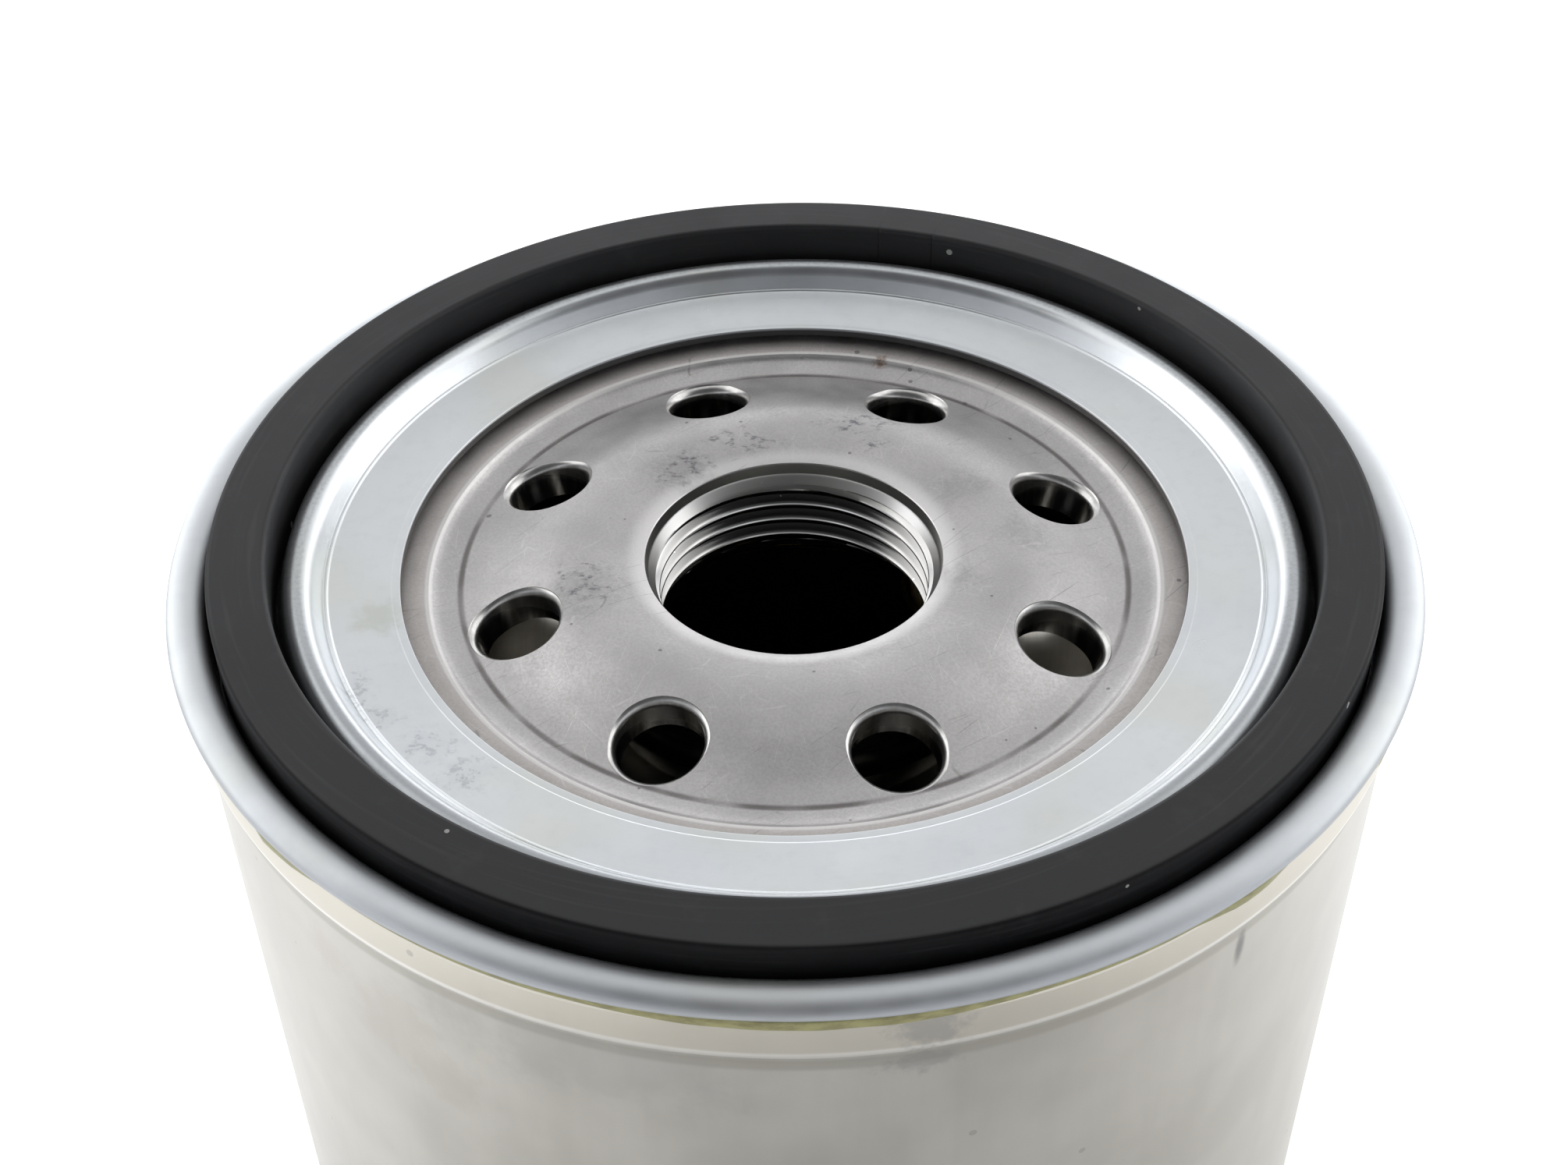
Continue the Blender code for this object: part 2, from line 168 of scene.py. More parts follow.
def add_piece(name, mesh, sharp=38):
    """Links a mesh drawn in millimetres at its place, with its faces out and smooth."""
    bm = bmesh.new()
    bm.from_mesh(mesh)
    bmesh.ops.remove_doubles(bm, verts=bm.verts, dist=1e-4)
    bmesh.ops.dissolve_degenerate(bm, edges=bm.edges, dist=1e-4)
    bmesh.ops.recalc_face_normals(bm, faces=bm.faces)
    bmesh.ops.scale(bm, vec=(MM, MM, MM), verts=bm.verts)
    bm.to_mesh(mesh)
    bm.free()
    obj = link_object(name, mesh)
    smooth(obj, sharp)
    return obj


def smooth(obj, sharp=38):
    obj.data.shade_smooth()
    obj.data.set_sharp_from_angle(angle=math.radians(sharp))


def even_normals(obj):
    """Keeps large flat faces flat beside their small roundings."""
    modifier = obj.modifiers.new("even_normals", "WEIGHTED_NORMAL")
    modifier.keep_sharp = True
    modifier.weight = 60


def mesh_of(name, points, faces):
    mesh = bpy.data.meshes.new(name)
    mesh.from_pydata(np.asarray(points, float).tolist(), [], faces)
    return mesh


def grid_faces(rows, columns, wrap_rows=False, shift=0):
    """Quads of a grid whose columns close into a ring, the last one shifted by whole rows."""
    faces = []
    for i in range(rows if wrap_rows else rows - 1):
        below = (i + 1) % rows
        for j in range(columns):
            after = (j + 1) % columns
            step = shift if after == 0 else 0
            if below + step >= rows and step:
                continue
            faces.append((
                i * columns + j, (i + step) * columns + after,
                (below + step) * columns + after, below * columns + j,
            ))
    return faces


def tube_faces(rows, columns):
    """The same grid without a wrap or a shift, and closed at both ends."""
    last = (rows - 1) * columns
    ends = [tuple(range(columns)), tuple(last + j for j in range(columns))]
    return grid_faces(rows, columns) + ends


def turned(radius, height, angle):
    """Points at these radii, heights and angles round Z."""
    return np.stack([radius * np.cos(angle), radius * np.sin(angle), height], -1)


def at_level(points, level):
    """Flat points, with their height added."""
    return np.concatenate([points, np.full((len(points), 1), level)], 1)


def lathe(name, outline, steps=LARGE_STEPS, turns=None, shape=None):
    """Turns a closed outline once round Z. shape can move the (radius, height, angle) grid."""
    angles = np.array(turns if turns is not None else np.arange(steps) * 2 * np.pi / steps)
    outline = np.array(outline, float)
    radius = np.repeat(outline[:, :1], len(angles), axis=1)
    height = np.repeat(outline[:, 1:], len(angles), axis=1)
    angle = np.repeat(angles[None, :], len(outline), axis=0)
    if shape:
        radius, height = shape(radius, height, angle)
    points = turned(radius, height, angle).reshape(-1, 3)
    faces = grid_faces(len(outline), len(angles), wrap_rows=True)
    obj = add_piece(name, mesh_of(name, points, faces))
    even_normals(obj)
    return obj


def cut(obj, cutters, sharp=38):
    """Takes the cutters out of a piece for good, and removes them."""
    evened = obj.modifiers.get("even_normals")
    if evened:
        obj.modifiers.remove(evened)
    for cutter in cutters:
        modifier = obj.modifiers.new("cut", "BOOLEAN")
        modifier.operation = "DIFFERENCE"
        modifier.solver = "EXACT"
        modifier.object = cutter
    graph = bpy.context.evaluated_depsgraph_get()
    mesh = bpy.data.meshes.new_from_object(obj.evaluated_get(graph))
    obj.modifiers.clear()
    obj.data = mesh
    for cutter in cutters:
        bpy.data.objects.remove(cutter)
    smooth(obj, sharp)
    even_normals(obj)
    return obj


def coil(name, low, high, bottom_radius, top_radius, wire, turns):
    """A compression spring of round wire. Its end turns lie flat and its ends are rounded."""
    per_turn, around = 40, 14
    count = round(turns * per_turn)
    share = np.linspace(0, 1, count + 1)
    rise = np.clip((share * turns - 0.4) / (turns - 0.8), 0, 1)
    radius = bottom_radius + (top_radius - bottom_radius) * share
    angle = 2 * np.pi * turns * share
    height = low + wire + (high - low - 2 * wire) * rise
    line = turned(radius, height, angle)
    out = np.stack([np.cos(angle), np.sin(angle), 0 * angle], 1)
    up = np.array([0.0, 0.0, 1.0])
    size = np.full(count + 1, wire)
    size[0] = size[-1] = 0.6 * wire
    round_angles = np.arange(around) * 2 * np.pi / around
    rings = [
        line + size[:, None] * (math.cos(a) * out + math.sin(a) * up) for a in round_angles
    ]
    points = np.stack(rings, 1).reshape(-1, 3)
    return add_piece(name, mesh_of(name, points, tube_faces(count + 1, around)))


# Materials


class Nodes:
    """A node tree and short ways to add to it. A value can be a number, a tuple or a socket."""

    def __init__(self, tree):
        self.tree = tree

    def put(self, socket, value):
        if isinstance(value, bpy.types.NodeSocket):
            self.tree.links.new(value, socket)
        elif isinstance(value, tuple) and socket.type == "RGBA" and len(value) == 3:
            socket.default_value = (*value, 1.0)
        else:
            socket.default_value = value

    def node(self, kind, settings=None, **inputs):
        made = self.tree.nodes.new("ShaderNode" + kind)
        for key, value in (settings or {}).items():
            setattr(made, key, value)
        for key, value in inputs.items():
            self.put(made.inputs[key.replace("_", " ")], value)
        return made

    def math(self, operation, first, second):
        made = self.node("Math", {"operation": operation})
        self.put(made.inputs[0], first)
        self.put(made.inputs[1], second)
        return made.outputs[0]

    def vector(self, operation, first, second=None, Scale=None):
        made = self.node("VectorMath", {"operation": operation})
        self.put(made.inputs[0], first)
        if second is not None:
            self.put(made.inputs[1], second)
        if Scale is not None:
            self.put(made.inputs["Scale"], Scale)
        return made.outputs["Value" if operation == "LENGTH" else "Vector"]

    def line(self, value, start, end, low=0.0, high=1.0, kind="LINEAR"):
        """A straight run from low at start to high at end, and level beyond them."""
        return self.node(
            "MapRange", {"interpolation_type": kind}, Value=value,
            From_Min=start, From_Max=end, To_Min=low, To_Max=high,
        ).outputs[0]

    def ramp(self, value, start, end, low=0.0, high=1.0):
        """The same as line, but as a smooth step."""
        return self.line(value, start, end, low, high, "SMOOTHSTEP")

    def chain(self, operation, result, *values):
        for value in values:
            result = self.math(operation, result, value)
        return result

    def product(self, *values):
        return self.chain("MULTIPLY", *values)

    def total(self, *values):
        return self.chain("ADD", *values)


class Look(Nodes):
    """One Principled material. Positions are the object's own, in millimetres."""

    def __init__(self, name, metallic=0.0):
        self.material = bpy.data.materials.new(name)
        self.material.use_nodes = True
        super().__init__(self.material.node_tree)
        self.shader = self.tree.nodes["Principled BSDF"]
        self.set("Metallic", metallic)
        spot = self.node("TexCoord").outputs["Object"]
        self.place = self.vector("SCALE", spot, Scale=1 / MM)
        x, y, self.z = self.node("SeparateXYZ", Vector=self.place).outputs
        flat = self.node("CombineXYZ", X=x, Y=y).outputs[0]
        self.radius = self.vector("LENGTH", flat)
        self.around = self.vector("NORMALIZE", flat)
        self.backward = self.node("SeparateXYZ", Vector=self.around).outputs[1]
        self.tone = None
        self.relief = None

    def set(self, name, value):
        self.put(self.shader.inputs[name], value)

    def rough(self, noise, low, high):
        self.set("Roughness", self.line(noise, 0.3, 0.7, low, high))

    def noise(self, size, detail=3.0, rough=0.55, at=None, stretch=None, warp=0.0, seed=0.0):
        """Soft noise from 0 to 1 whose features are about size millimetres wide."""
        where = self.place if at is None else at
        if stretch:
            where = self.vector("MULTIPLY", where, stretch)
        if seed:
            where = self.vector("ADD", where, (seed, seed * 1.7, -seed))
        return self.node(
            "TexNoise", Vector=where, Scale=1.0 / size, Detail=detail,
            Roughness=rough, Distortion=warp,
        ).outputs["Fac"]

    def patches(self, size, start, end, low=0.0, high=1.0, detail=2.0, rough=0.55, seed=0.0):
        """Noise pushed to a smooth step, so it makes separate patches."""
        return self.ramp(self.noise(size, detail, rough, seed=seed), start, end, low, high)

    def spun(self, size, turning, detail=3.0, rough=0.6):
        """Noise drawn out round the axis: the more turning, the shorter its streaks."""
        where = self.node("CombineXYZ", X=self.radius, Z=self.z).outputs[0]
        where = self.vector("ADD", where, self.vector("SCALE", self.around, Scale=turning))
        return self.noise(size, detail, rough, at=where)

    def band(self, value, start, end, soft):
        """1 between start and end, falling to 0 over soft on both sides."""
        rising = self.ramp(value, start - soft, start)
        return self.product(rising, self.ramp(value, end, end + soft, 1.0, 0.0))

    def colour(self, share, first, second):
        """A mix of two colours, from the first at share 0 to the second at share 1."""
        made = self.node("Mix", {"data_type": "RGBA"})
        share_socket, first_colour, second_colour = (made.inputs[i] for i in (0, 6, 7))
        self.put(share_socket, share)
        self.put(first_colour, first)
        self.put(second_colour, second)
        return made.outputs[2]

    def ground(self, share, first, second):
        """The base colour, mixed from two."""
        self.tone = self.colour(share, first, second)
        self.set("Base Color", self.tone)

    def layer(self, share, colour, strength=None):
        """Lays a colour over the base colour, as far as share, times strength, goes."""
        if strength is not None:
            share = self.product(share, strength)
        self.ground(share, self.tone, colour)

    def spot(self, centre, reach, ragged=0.0, grain=2.0, squash=(1.0, 1.0, 1.0)):
        """A patch that fades from 1 at its centre to 0 at its reach, with a ragged edge."""
        away = self.vector("MULTIPLY", self.vector("SUBTRACT", self.place, centre), squash)
        away = self.vector("LENGTH", away)
        if ragged:
            wave = self.noise(grain, 4.0, 0.65, seed=centre[0])
            away = self.math("ADD", away, self.line(wave, 0.3, 0.7, -ragged, ragged))
        return self.ramp(away, 0.25 * reach, reach, 1.0, 0.0)

    def spots(self, level, *places):
        """Several patches at one level, added up. Each is x, y and the rest of what spot takes."""
        return self.total(*[self.spot((x, y, level), *rest) for x, y, *rest in places])

    def capped(self, *values):
        """The product of some values, and never more than 1."""
        return self.math("MINIMUM", self.product(*values), 1.0)

    def cracks(self, size, width, turn, stretch, seed, warp):
        """Fine straight lines, mostly along one direction in the XY plane, as scratches lie."""
        turned = self.node("VectorRotate", {"rotation_type": "Z_AXIS"}, Vector=self.place)
        self.put(turned.inputs["Angle"], math.radians(turn))
        where = self.vector("MULTIPLY", turned.outputs[0], (1.0 / stretch, 1.0, 1.0))
        bend = self.node("TexNoise", Vector=where, Scale=0.35, Detail=1.0)
        push = self.vector("SCALE", bend.outputs["Color"], Scale=warp)
        where = self.vector("ADD", where, push)
        where = self.vector("ADD", where, (seed, 2.3 * seed, 0.7 * seed))
        cells = self.node(
            "TexVoronoi", {"feature": "DISTANCE_TO_EDGE", "voronoi_dimensions": "2D"},
            Vector=where, Scale=1.0 / size,
        )
        return self.ramp(cells.outputs["Distance"], 0.0, width / size, 1.0, 0.0)

    def specks(self, size, share, seed):
        """Small round dots, of which only a share of the cells has one."""
        where = self.vector("ADD", self.place, (seed, seed, 2 * seed))
        cells = self.node("TexVoronoi", Vector=where, Scale=1.0 / size)
        pick = self.node("SeparateColor", Color=cells.outputs["Color"])
        chosen = self.math("LESS_THAN", pick.outputs[0], share)
        width = self.line(pick.outputs[1], 0.0, 1.0, 0.06, 0.22)
        return self.product(chosen, self.math("LESS_THAN", cells.outputs["Distance"], width))

    def bump(self, height, distance, strength):
        """Adds relief, where height runs from 0 to 1 and distance is its depth in millimetres."""
        made = self.node("Bump", Height=height, Distance=distance * MM, Strength=strength)
        if self.relief is not None:
            self.put(made.inputs["Normal"], self.relief)
        self.relief = made.outputs["Normal"]
        self.set("Normal", self.relief)

    def brushed(self, amount, turn=0.0):
        """Stretches the highlights round the axis."""
        tangent = self.node("Tangent", {"direction_type": "RADIAL", "axis": "Z"})
        self.set("Tangent", tangent.outputs[0])
        self.set("Anisotropic", amount)
        self.set("Anisotropic Rotation", turn)


def bare_steel():
    """Cold-rolled plate: a fine dull grain, short scratches and the marks of handling."""
    look = Look("bare_steel", metallic=1.0)
    clouds = look.noise(9.0, 3.0)
    grain = look.noise(0.22, 2.0, 0.6)
    fine = look.noise(0.6, 3.0, 0.6)
    look.ground(look.ramp(clouds, 0.3, 0.7), (0.505, 0.492, 0.488), (0.60, 0.585, 0.578))
    look.layer(look.ramp(grain, 0.35, 0.65, 0.0, 0.22), (0.36, 0.35, 0.34))
    look.layer(look.ramp(look.radius, 27.2, 28.4), (0.52, 0.48, 0.45), 0.5)
    # painted highlight: the plate's colour is lightened in a soft band round the bore's rim
    bore_rim_highlight = look.band(look.radius, 11.0, 11.8, 1.3)
    look.layer(bore_rim_highlight, (0.80, 0.785, 0.775), 0.7)

    level = depth(5.2)
    scuffed = look.spots(
        level,
        (-9.7, 9.3, 2.0, 0.5, 0.6),
        (-8.0, 10.9, 2.2, 0.5, 0.6),
        (-4.2, 13.6, 3.2, 0.8, 0.6, (0.7, 1.9, 1.0)),
        (6.6, 12.9, 1.9, 0.4, 0.4, (1.0, 1.5, 1.0)),
        (5.4, 15.8, 3.6, 1.0, 0.7, (0.8, 1.9, 1.0)),
        (-15.8, -4.0, 3.4, 1.0, 1.0),
    )
    dashes = look.ramp(look.noise(0.75, 5.0, 0.75, stretch=(0.6, 1.0, 1.0), seed=2.0), 0.50, 0.62)
    look.layer(look.capped(scuffed, dashes), (0.10, 0.10, 0.125), 0.72)
    faint = look.spots(
        level,
        (-8.8, 10.2, 3.6, 1.0, 1.5),
        (-8.8, 10.2, 2.2, 0.8, 1.0),
        (-15.8, -4.6, 4.2, 1.4, 1.6),
        (12.3, -3.2, 2.2, 0.6, 0.8),
        (13.6, 7.4, 3.2, 1.0, 1.2),
        (17.5, 1.5, 3.0, 1.0, 1.2),
    )
    smudge = look.capped(faint, look.line(fine, 0.3, 0.7, 0.4, 1.0))
    look.layer(smudge, (0.22, 0.215, 0.215), 0.24)

    patchy = look.patches(5.0, 0.45, 0.62, seed=3.0)
    light_lines = look.capped(look.total(
        look.product(look.cracks(1.6, 0.030, 25, 7.0, 1.0, 0.5), patchy),
        look.product(look.cracks(2.2, 0.030, 110, 8.0, 5.0, 0.4), patchy),
        look.product(look.cracks(1.1, 0.035, 68, 5.0, 9.0, 0.6), look.patches(4.0, 0.5, 0.62, seed=8.0)),
    ))
    look.layer(light_lines, (0.80, 0.79, 0.77), 0.22)
    dark_lines = look.cracks(1.8, 0.035, -35, 6.0, 13.0, 0.8)
    dark_lines = look.product(dark_lines, look.patches(4.0, 0.52, 0.64, seed=15.0))
    look.layer(dark_lines, (0.20, 0.195, 0.19), 0.5)
    look.layer(look.specks(1.1, 0.05, 2.0), (0.12, 0.11, 0.11), 0.6)
    # painted highlight: a thin light line along the ridge at the annulus's step
    ridge_highlight = look.band(look.radius, 27.52, 27.84, 0.2)
    look.layer(ridge_highlight, (0.86, 0.84, 0.82), 0.55)
    # painted shade: a thin dark line in the crease at the dome's foot, patchy along its length
    crease_shade = look.band(look.radius, 25.24, 25.40, 0.28)
    patchy_shade = look.patches(7.0, 0.35, 0.6, 0.25, 0.75, seed=17.0)
    look.layer(look.product(crease_shade, patchy_shade), (0.10, 0.085, 0.085))
    rust = look.spot((7.7, 26.6, depth(6.5)), 0.95, 0.25, 0.35)
    look.layer(rust, (0.20, 0.10, 0.045), 0.85)

    look.set("Roughness", look.total(
        look.line(look.noise(3.0, 4.0, 0.6, seed=21.0), 0.3, 0.7, 0.34, 0.46),
        look.product(smudge, 0.15),
        look.line(grain, 0.3, 0.7, -0.04, 0.06),
        look.ramp(look.radius, 27.9, 28.6, 0.0, 0.16),
    ))
    look.bump(grain, 0.010, 0.6)
    look.bump(fine, 0.012, 0.5)
    look.bump(light_lines, -0.006, 0.7)
    return look.material


def cut_steel():
    """The fresh metal of punched holes and the tapped bore, with dark oil and painted shade in the
    thread, and painted shade on the bevel at the back of the bore.
    """
    look = Look("cut_steel", metallic=1.0)
    streak = look.noise(0.45, 3.0, 0.55, stretch=(1.0, 1.0, 0.06))
    turned = look.spun(0.10, 0.278, 2.0, 0.5)
    broad = look.noise(2.5, 2.0, 0.5, seed=4.0)
    in_bore = look.ramp(look.radius, 11.5, 11.8, 1.0, 0.0)
    wall = look.ramp(look.z, depth(7.6), depth(6.9), 1.0, 0.0)
    drawn = look.product(look.ramp(streak, 0.65, 0.35), look.line(wall, 0.0, 1.0, 0.35, 1.0))
    look.ground(drawn, (0.74, 0.73, 0.71), (0.50, 0.49, 0.475))
    look.layer(in_bore, look.colour(broad, (0.60, 0.595, 0.58), (0.70, 0.69, 0.67)))
    # oil and painted shade in the thread's grooves: the darkening grows towards the back of the bore
    threaded = look.ramp(look.z, depth(7.7), depth(7.35), 1.0, 0.0)
    groove = look.ramp(look.radius, THREAD_MINOR + 0.10, THREAD_MINOR + 0.30)
    share = look.ramp(look.backward, 0.30, 0.85, 0.10, 0.86)
    oil = look.product(threaded, groove, share)
    look.layer(oil, (0.035, 0.035, 0.035))
    # painted shade: the bevel above the thread is darkened to an olive grey towards the back of the bore
    bevel = look.product(in_bore, look.math("SUBTRACT", 1.0, threaded))
    olive = look.product(bevel, look.ramp(look.backward, 0.55, 0.95, 0.0, 0.45))
    look.layer(olive, (0.30, 0.30, 0.25))
    glints = look.product(look.specks(0.5, 0.05, 4.0), in_bore, 0.7)
    look.layer(glints, (0.95, 0.95, 0.93))
    look.set("Roughness", look.line(wall, 0.0, 1.0, 0.30, 0.20))
    look.bump(look.product(streak, wall, look.math("SUBTRACT", 1.0, in_bore)), 0.02, 0.5)
    look.bump(look.product(turned, in_bore), 0.002, 0.5)
    return look.material


def zinc():
    """Bright zinc plating: cool, cloudy, with light draw lines round the ring and a few stains."""
    look = Look("zinc_plate", metallic=1.0)
    clouds = look.noise(13.0, 3.0, 0.55)
    mottle = look.noise(1.1, 4.0, 0.65, seed=2.0)
    grain = look.noise(0.16, 2.0, 0.6, seed=5.0)
    lines = look.spun(0.30, 0.536)
    look.ground(look.ramp(clouds, 0.3, 0.7), (0.775, 0.805, 0.825), (0.83, 0.855, 0.87))
    look.layer(look.ramp(mottle, 0.45, 0.75, 0.0, 0.15), (0.60, 0.635, 0.655))
    look.layer(look.ramp(lines, 0.4, 0.75, 0.0, 0.16), (0.86, 0.88, 0.89))
    look.layer(look.patches(15.0, 0.52, 0.70, 0.0, 0.40, seed=9.0), (0.755, 0.765, 0.68))
    crown = look.band(look.radius, 36.7, 38.6, 0.4)
    pitted = look.patches(0.35, 0.42, 0.68, 0.0, 0.45, 3.0, 0.7, 31.0)
    look.layer(look.product(crown, pitted), (0.42, 0.44, 0.45))
    # painted shade: the crown's colour is darkened a little at the back and most at the front of the
    # ring
    crown_front_shade = look.product(crown, look.ramp(look.backward, 0.1, -0.6, 0.35, 0.85))
    look.layer(crown_front_shade, (0.40, 0.42, 0.435))
    # painted shade: the rolled lip's colour is darkened all round
    look.layer(look.ramp(look.radius, 43.3, 43.9, 0.0, 0.35), (0.56, 0.58, 0.60))
    # painted shade: a dark line on the ring's inner cut edge
    edge = look.ramp(look.radius, 29.63, 29.75, 1.0, 0.0)
    edge = look.product(edge, look.ramp(look.z, depth(4.90), depth(4.80), 1.0, 0.0))
    look.layer(edge, (0.07, 0.07, 0.07), 0.9)
    # painted shade: the lip's outer face is darkened below its roll
    under = look.product(look.ramp(look.radius, 45.6, 46.1), look.ramp(look.z, depth(2.1), depth(2.5)))
    look.layer(under, (0.30, 0.31, 0.33), 0.5)

    stained = look.spots(
        depth(4.5),
        (-30.9, -15.6, 2.2, 0.7, 0.7, (1.3, 0.8, 1.0)),
        (-29.2, -18.4, 2.2, 0.8, 0.6, (0.8, 1.3, 1.0)),
        (-25.0, -21.0, 2.8, 1.0, 0.8, (1.0, 1.3, 1.0)),
        (-22.2, -23.8, 2.4, 0.9, 0.5),
    )
    inked = look.patches(0.75, 0.50, 0.60, detail=4.0, rough=0.7, seed=4.0)
    look.layer(look.capped(stained, inked), (0.36, 0.38, 0.41), 0.42)
    look.layer(look.capped(stained), (0.40, 0.42, 0.45), 0.10)
    olive = look.spot((-30.4, -7.6, depth(4.5)), 2.6, 0.8, 1.4)
    look.layer(olive, (0.45, 0.47, 0.33), 0.3)
    look.set("Roughness", look.total(
        look.line(look.noise(4.0, 3.0, 0.6, seed=12.0), 0.3, 0.7, 0.27, 0.34),
        look.product(crown, 0.06),
        look.ramp(look.radius, 43.3, 43.9, 0.0, 0.20),
    ))
    look.bump(grain, 0.004, 0.5)
    look.bump(mottle, 0.008, 0.30)
    look.bump(lines, 0.003, 0.5)
    return look.material


def tinplate():
    """Satin tinplate of the drawn can: upright mottling, soft smudges and a scratch."""
    look = Look("tinplate", metallic=1.0)
    upright = look.noise(2.6, 3.0, 0.55, stretch=(1.0, 1.0, 0.12))
    broad = look.noise(14.0, 3.0, 0.55, seed=3.0)
    grain = look.noise(0.25, 2.0, 0.6)
    look.ground(look.ramp(broad, 0.32, 0.68), (0.545, 0.528, 0.483), (0.635, 0.617, 0.57))
    look.layer(look.ramp(upright, 0.4, 0.7, 0.0, 0.14), (0.47, 0.456, 0.425))
    # painted light: the bead band's colour is lightened and warmed
    bead = look.band(look.z, depth(7.0), depth(4.1), 0.15)
    look.layer(bead, (0.76, 0.715, 0.62), 0.6)
    # painted highlight: a bright line along the bead's lower edge
    shoulder_highlight = look.band(look.z, depth(7.2), depth(6.75), 0.28)
    look.layer(shoulder_highlight, (0.94, 0.925, 0.885), 0.8)
    # painted shade: a dark band in the crevice under the bead
    crevice_shade = look.band(look.z, depth(8.6), depth(8.0), 0.5)
    look.layer(crevice_shade, (0.40, 0.385, 0.335), 0.55)
    dark = look.capped(look.total(
        look.spot((7.9, -45.0, depth(5.2)), 2.6, 0.9, 1.2, (0.8, 0.8, 1.1)),
        look.spot((7.4, -44.5, depth(9.0)), 2.6, 1.0, 1.5, (0.75, 0.75, 1.8)),
    ))
    look.layer(dark, (0.33, 0.325, 0.33), 0.5)
    bruise = look.capped(look.total(
        look.spot((-27.0, -36.0, depth(15.0)), 4.2, 1.5, 3.0, (0.9, 0.9, 0.8)),
        look.spot((-31.5, -32.3, depth(12.5)), 3.2, 1.2, 3.0, (0.8, 0.8, 1.2)),
        look.spot((-23.5, -38.5, depth(18.0)), 3.0, 1.2, 2.5, (0.8, 0.8, 0.8)),
    ))
    look.layer(bruise, (0.42, 0.33, 0.30), 0.17)
    cast = look.spot((-14.0, -43.0, depth(10.5)), 8.0, 3.0, 4.0, (0.55, 0.55, 1.6))
    look.layer(cast, (0.36, 0.36, 0.38), 0.18)
    nick = look.spot((28.6, -35.0, depth(10.1)), 2.2, 0.15, 0.5, (3.6, 3.6, 0.9))
    look.layer(nick, (0.16, 0.16, 0.17), 0.7)
    look.layer(look.specks(1.3, 0.03, 6.0), (0.30, 0.29, 0.28), 0.4)
    smudge = look.product(look.math("MAXIMUM", dark, cast), 0.12)
    look.set("Roughness", look.total(look.line(broad, 0.3, 0.7, 0.30, 0.40), smudge))
    look.bump(upright, 0.030, 0.45)
    look.bump(grain, 0.006, 0.5)
    look.brushed(0.45, 0.25)
    return look.material


def bright_tin():
    """Bright tinplate of pressed inner parts, spun round the axis."""
    look = Look("bright_tinplate", metallic=1.0)
    lines = look.spun(0.22, 0.7)
    clouds = look.noise(6.0, 3.0, 0.6)
    look.ground(look.ramp(clouds, 0.3, 0.7), (0.66, 0.63, 0.56), (0.80, 0.78, 0.72))
    look.layer(look.ramp(lines, 0.4, 0.7, 0.0, 0.25), (0.55, 0.52, 0.45))
    look.layer(look.specks(1.6, 0.08, 3.0), (0.25, 0.22, 0.18), 0.5)
    look.rough(clouds, 0.11, 0.17)
    look.bump(lines, 0.003, 0.5)
    look.brushed(0.7)
    return look.material


def tube_steel():
    """Oiled pressed steel, darkened by its phosphate coat."""
    look = Look("tube_steel", metallic=1.0)
    clouds = look.noise(7.0, 4.0, 0.6)
    grain = look.noise(0.35, 3.0, 0.6)
    look.ground(look.ramp(clouds, 0.3, 0.7), (0.10, 0.10, 0.105), (0.17, 0.165, 0.16))
    look.layer(look.ramp(grain, 0.5, 0.75, 0.0, 0.4), (0.30, 0.29, 0.28))
    look.rough(grain, 0.30, 0.48)
    look.bump(grain, 0.012, 0.6)
    return look.material


def spring_steel():
    """Hard-drawn wire under oil, with faint die lines along it."""
    look = Look("spring_steel", metallic=1.0)
    clouds = look.noise(4.0, 3.0, 0.6)
    grain = look.noise(0.3, 3.0, 0.6, stretch=(1.0, 1.0, 2.5))
    look.ground(look.ramp(clouds, 0.3, 0.7), (0.20, 0.20, 0.21), (0.36, 0.355, 0.35))
    look.layer(look.ramp(grain, 0.5, 0.8, 0.0, 0.5), (0.50, 0.49, 0.47))
    look.rough(clouds, 0.24, 0.38)
    look.bump(grain, 0.012, 0.5)
    return look.material


def rubber():
    """Moulded black rubber: matt, with faint drag arcs and dust, and oily near the middle."""
    look = Look("black_rubber")
    clouds = look.noise(10.0, 4.0, 0.6)
    grain = look.noise(0.20, 3.0, 0.6)
    arcs = look.spun(0.5, 2.0, rough=0.55)
    look.ground(look.ramp(clouds, 0.3, 0.7), (0.0080, 0.0080, 0.0088), (0.0130, 0.0130, 0.0138))
    look.layer(look.ramp(arcs, 0.52, 0.75, 0.0, 0.5), (0.034, 0.034, 0.035))
    look.layer(look.patches(3.5, 0.52, 0.75, 0.0, 0.35, 4.0, 0.7, 5.0), (0.032, 0.032, 0.033))
    look.layer(look.specks(1.5, 0.035, 7.0), (0.50, 0.49, 0.47), 0.75)
    look.layer(look.specks(4.5, 0.03, 3.0), (0.75, 0.74, 0.72), 0.8)
    oily = look.ramp(look.radius, 20.0, 24.0, 0.28, 0.0)
    roughness = look.line(clouds, 0.3, 0.7, 0.46, 0.58)
    look.set("Roughness", look.math("SUBTRACT", roughness, oily))
    side = look.ramp(look.radius, GASKET_RADIUS - 0.32, GASKET_RADIUS - 0.12)
    look.set("Specular IOR Level", look.line(side, 0.0, 1.0, 0.5, 0.12))
    look.bump(grain, 0.010, 0.5)
    look.bump(arcs, 0.008, 0.4)
    return look.material


def compound():
    """The olive seam compound: soft, smeared, uneven in its colour."""
    look = Look("seam_compound")
    smear = look.noise(1.6, 4.0, 0.6, stretch=(1.0, 1.0, 3.0))
    look.ground(look.ramp(smear, 0.3, 0.7), (0.27, 0.25, 0.11), (0.44, 0.42, 0.19))
    look.rough(smear, 0.30, 0.50)
    look.bump(smear, 0.05, 0.6)
    return look.material


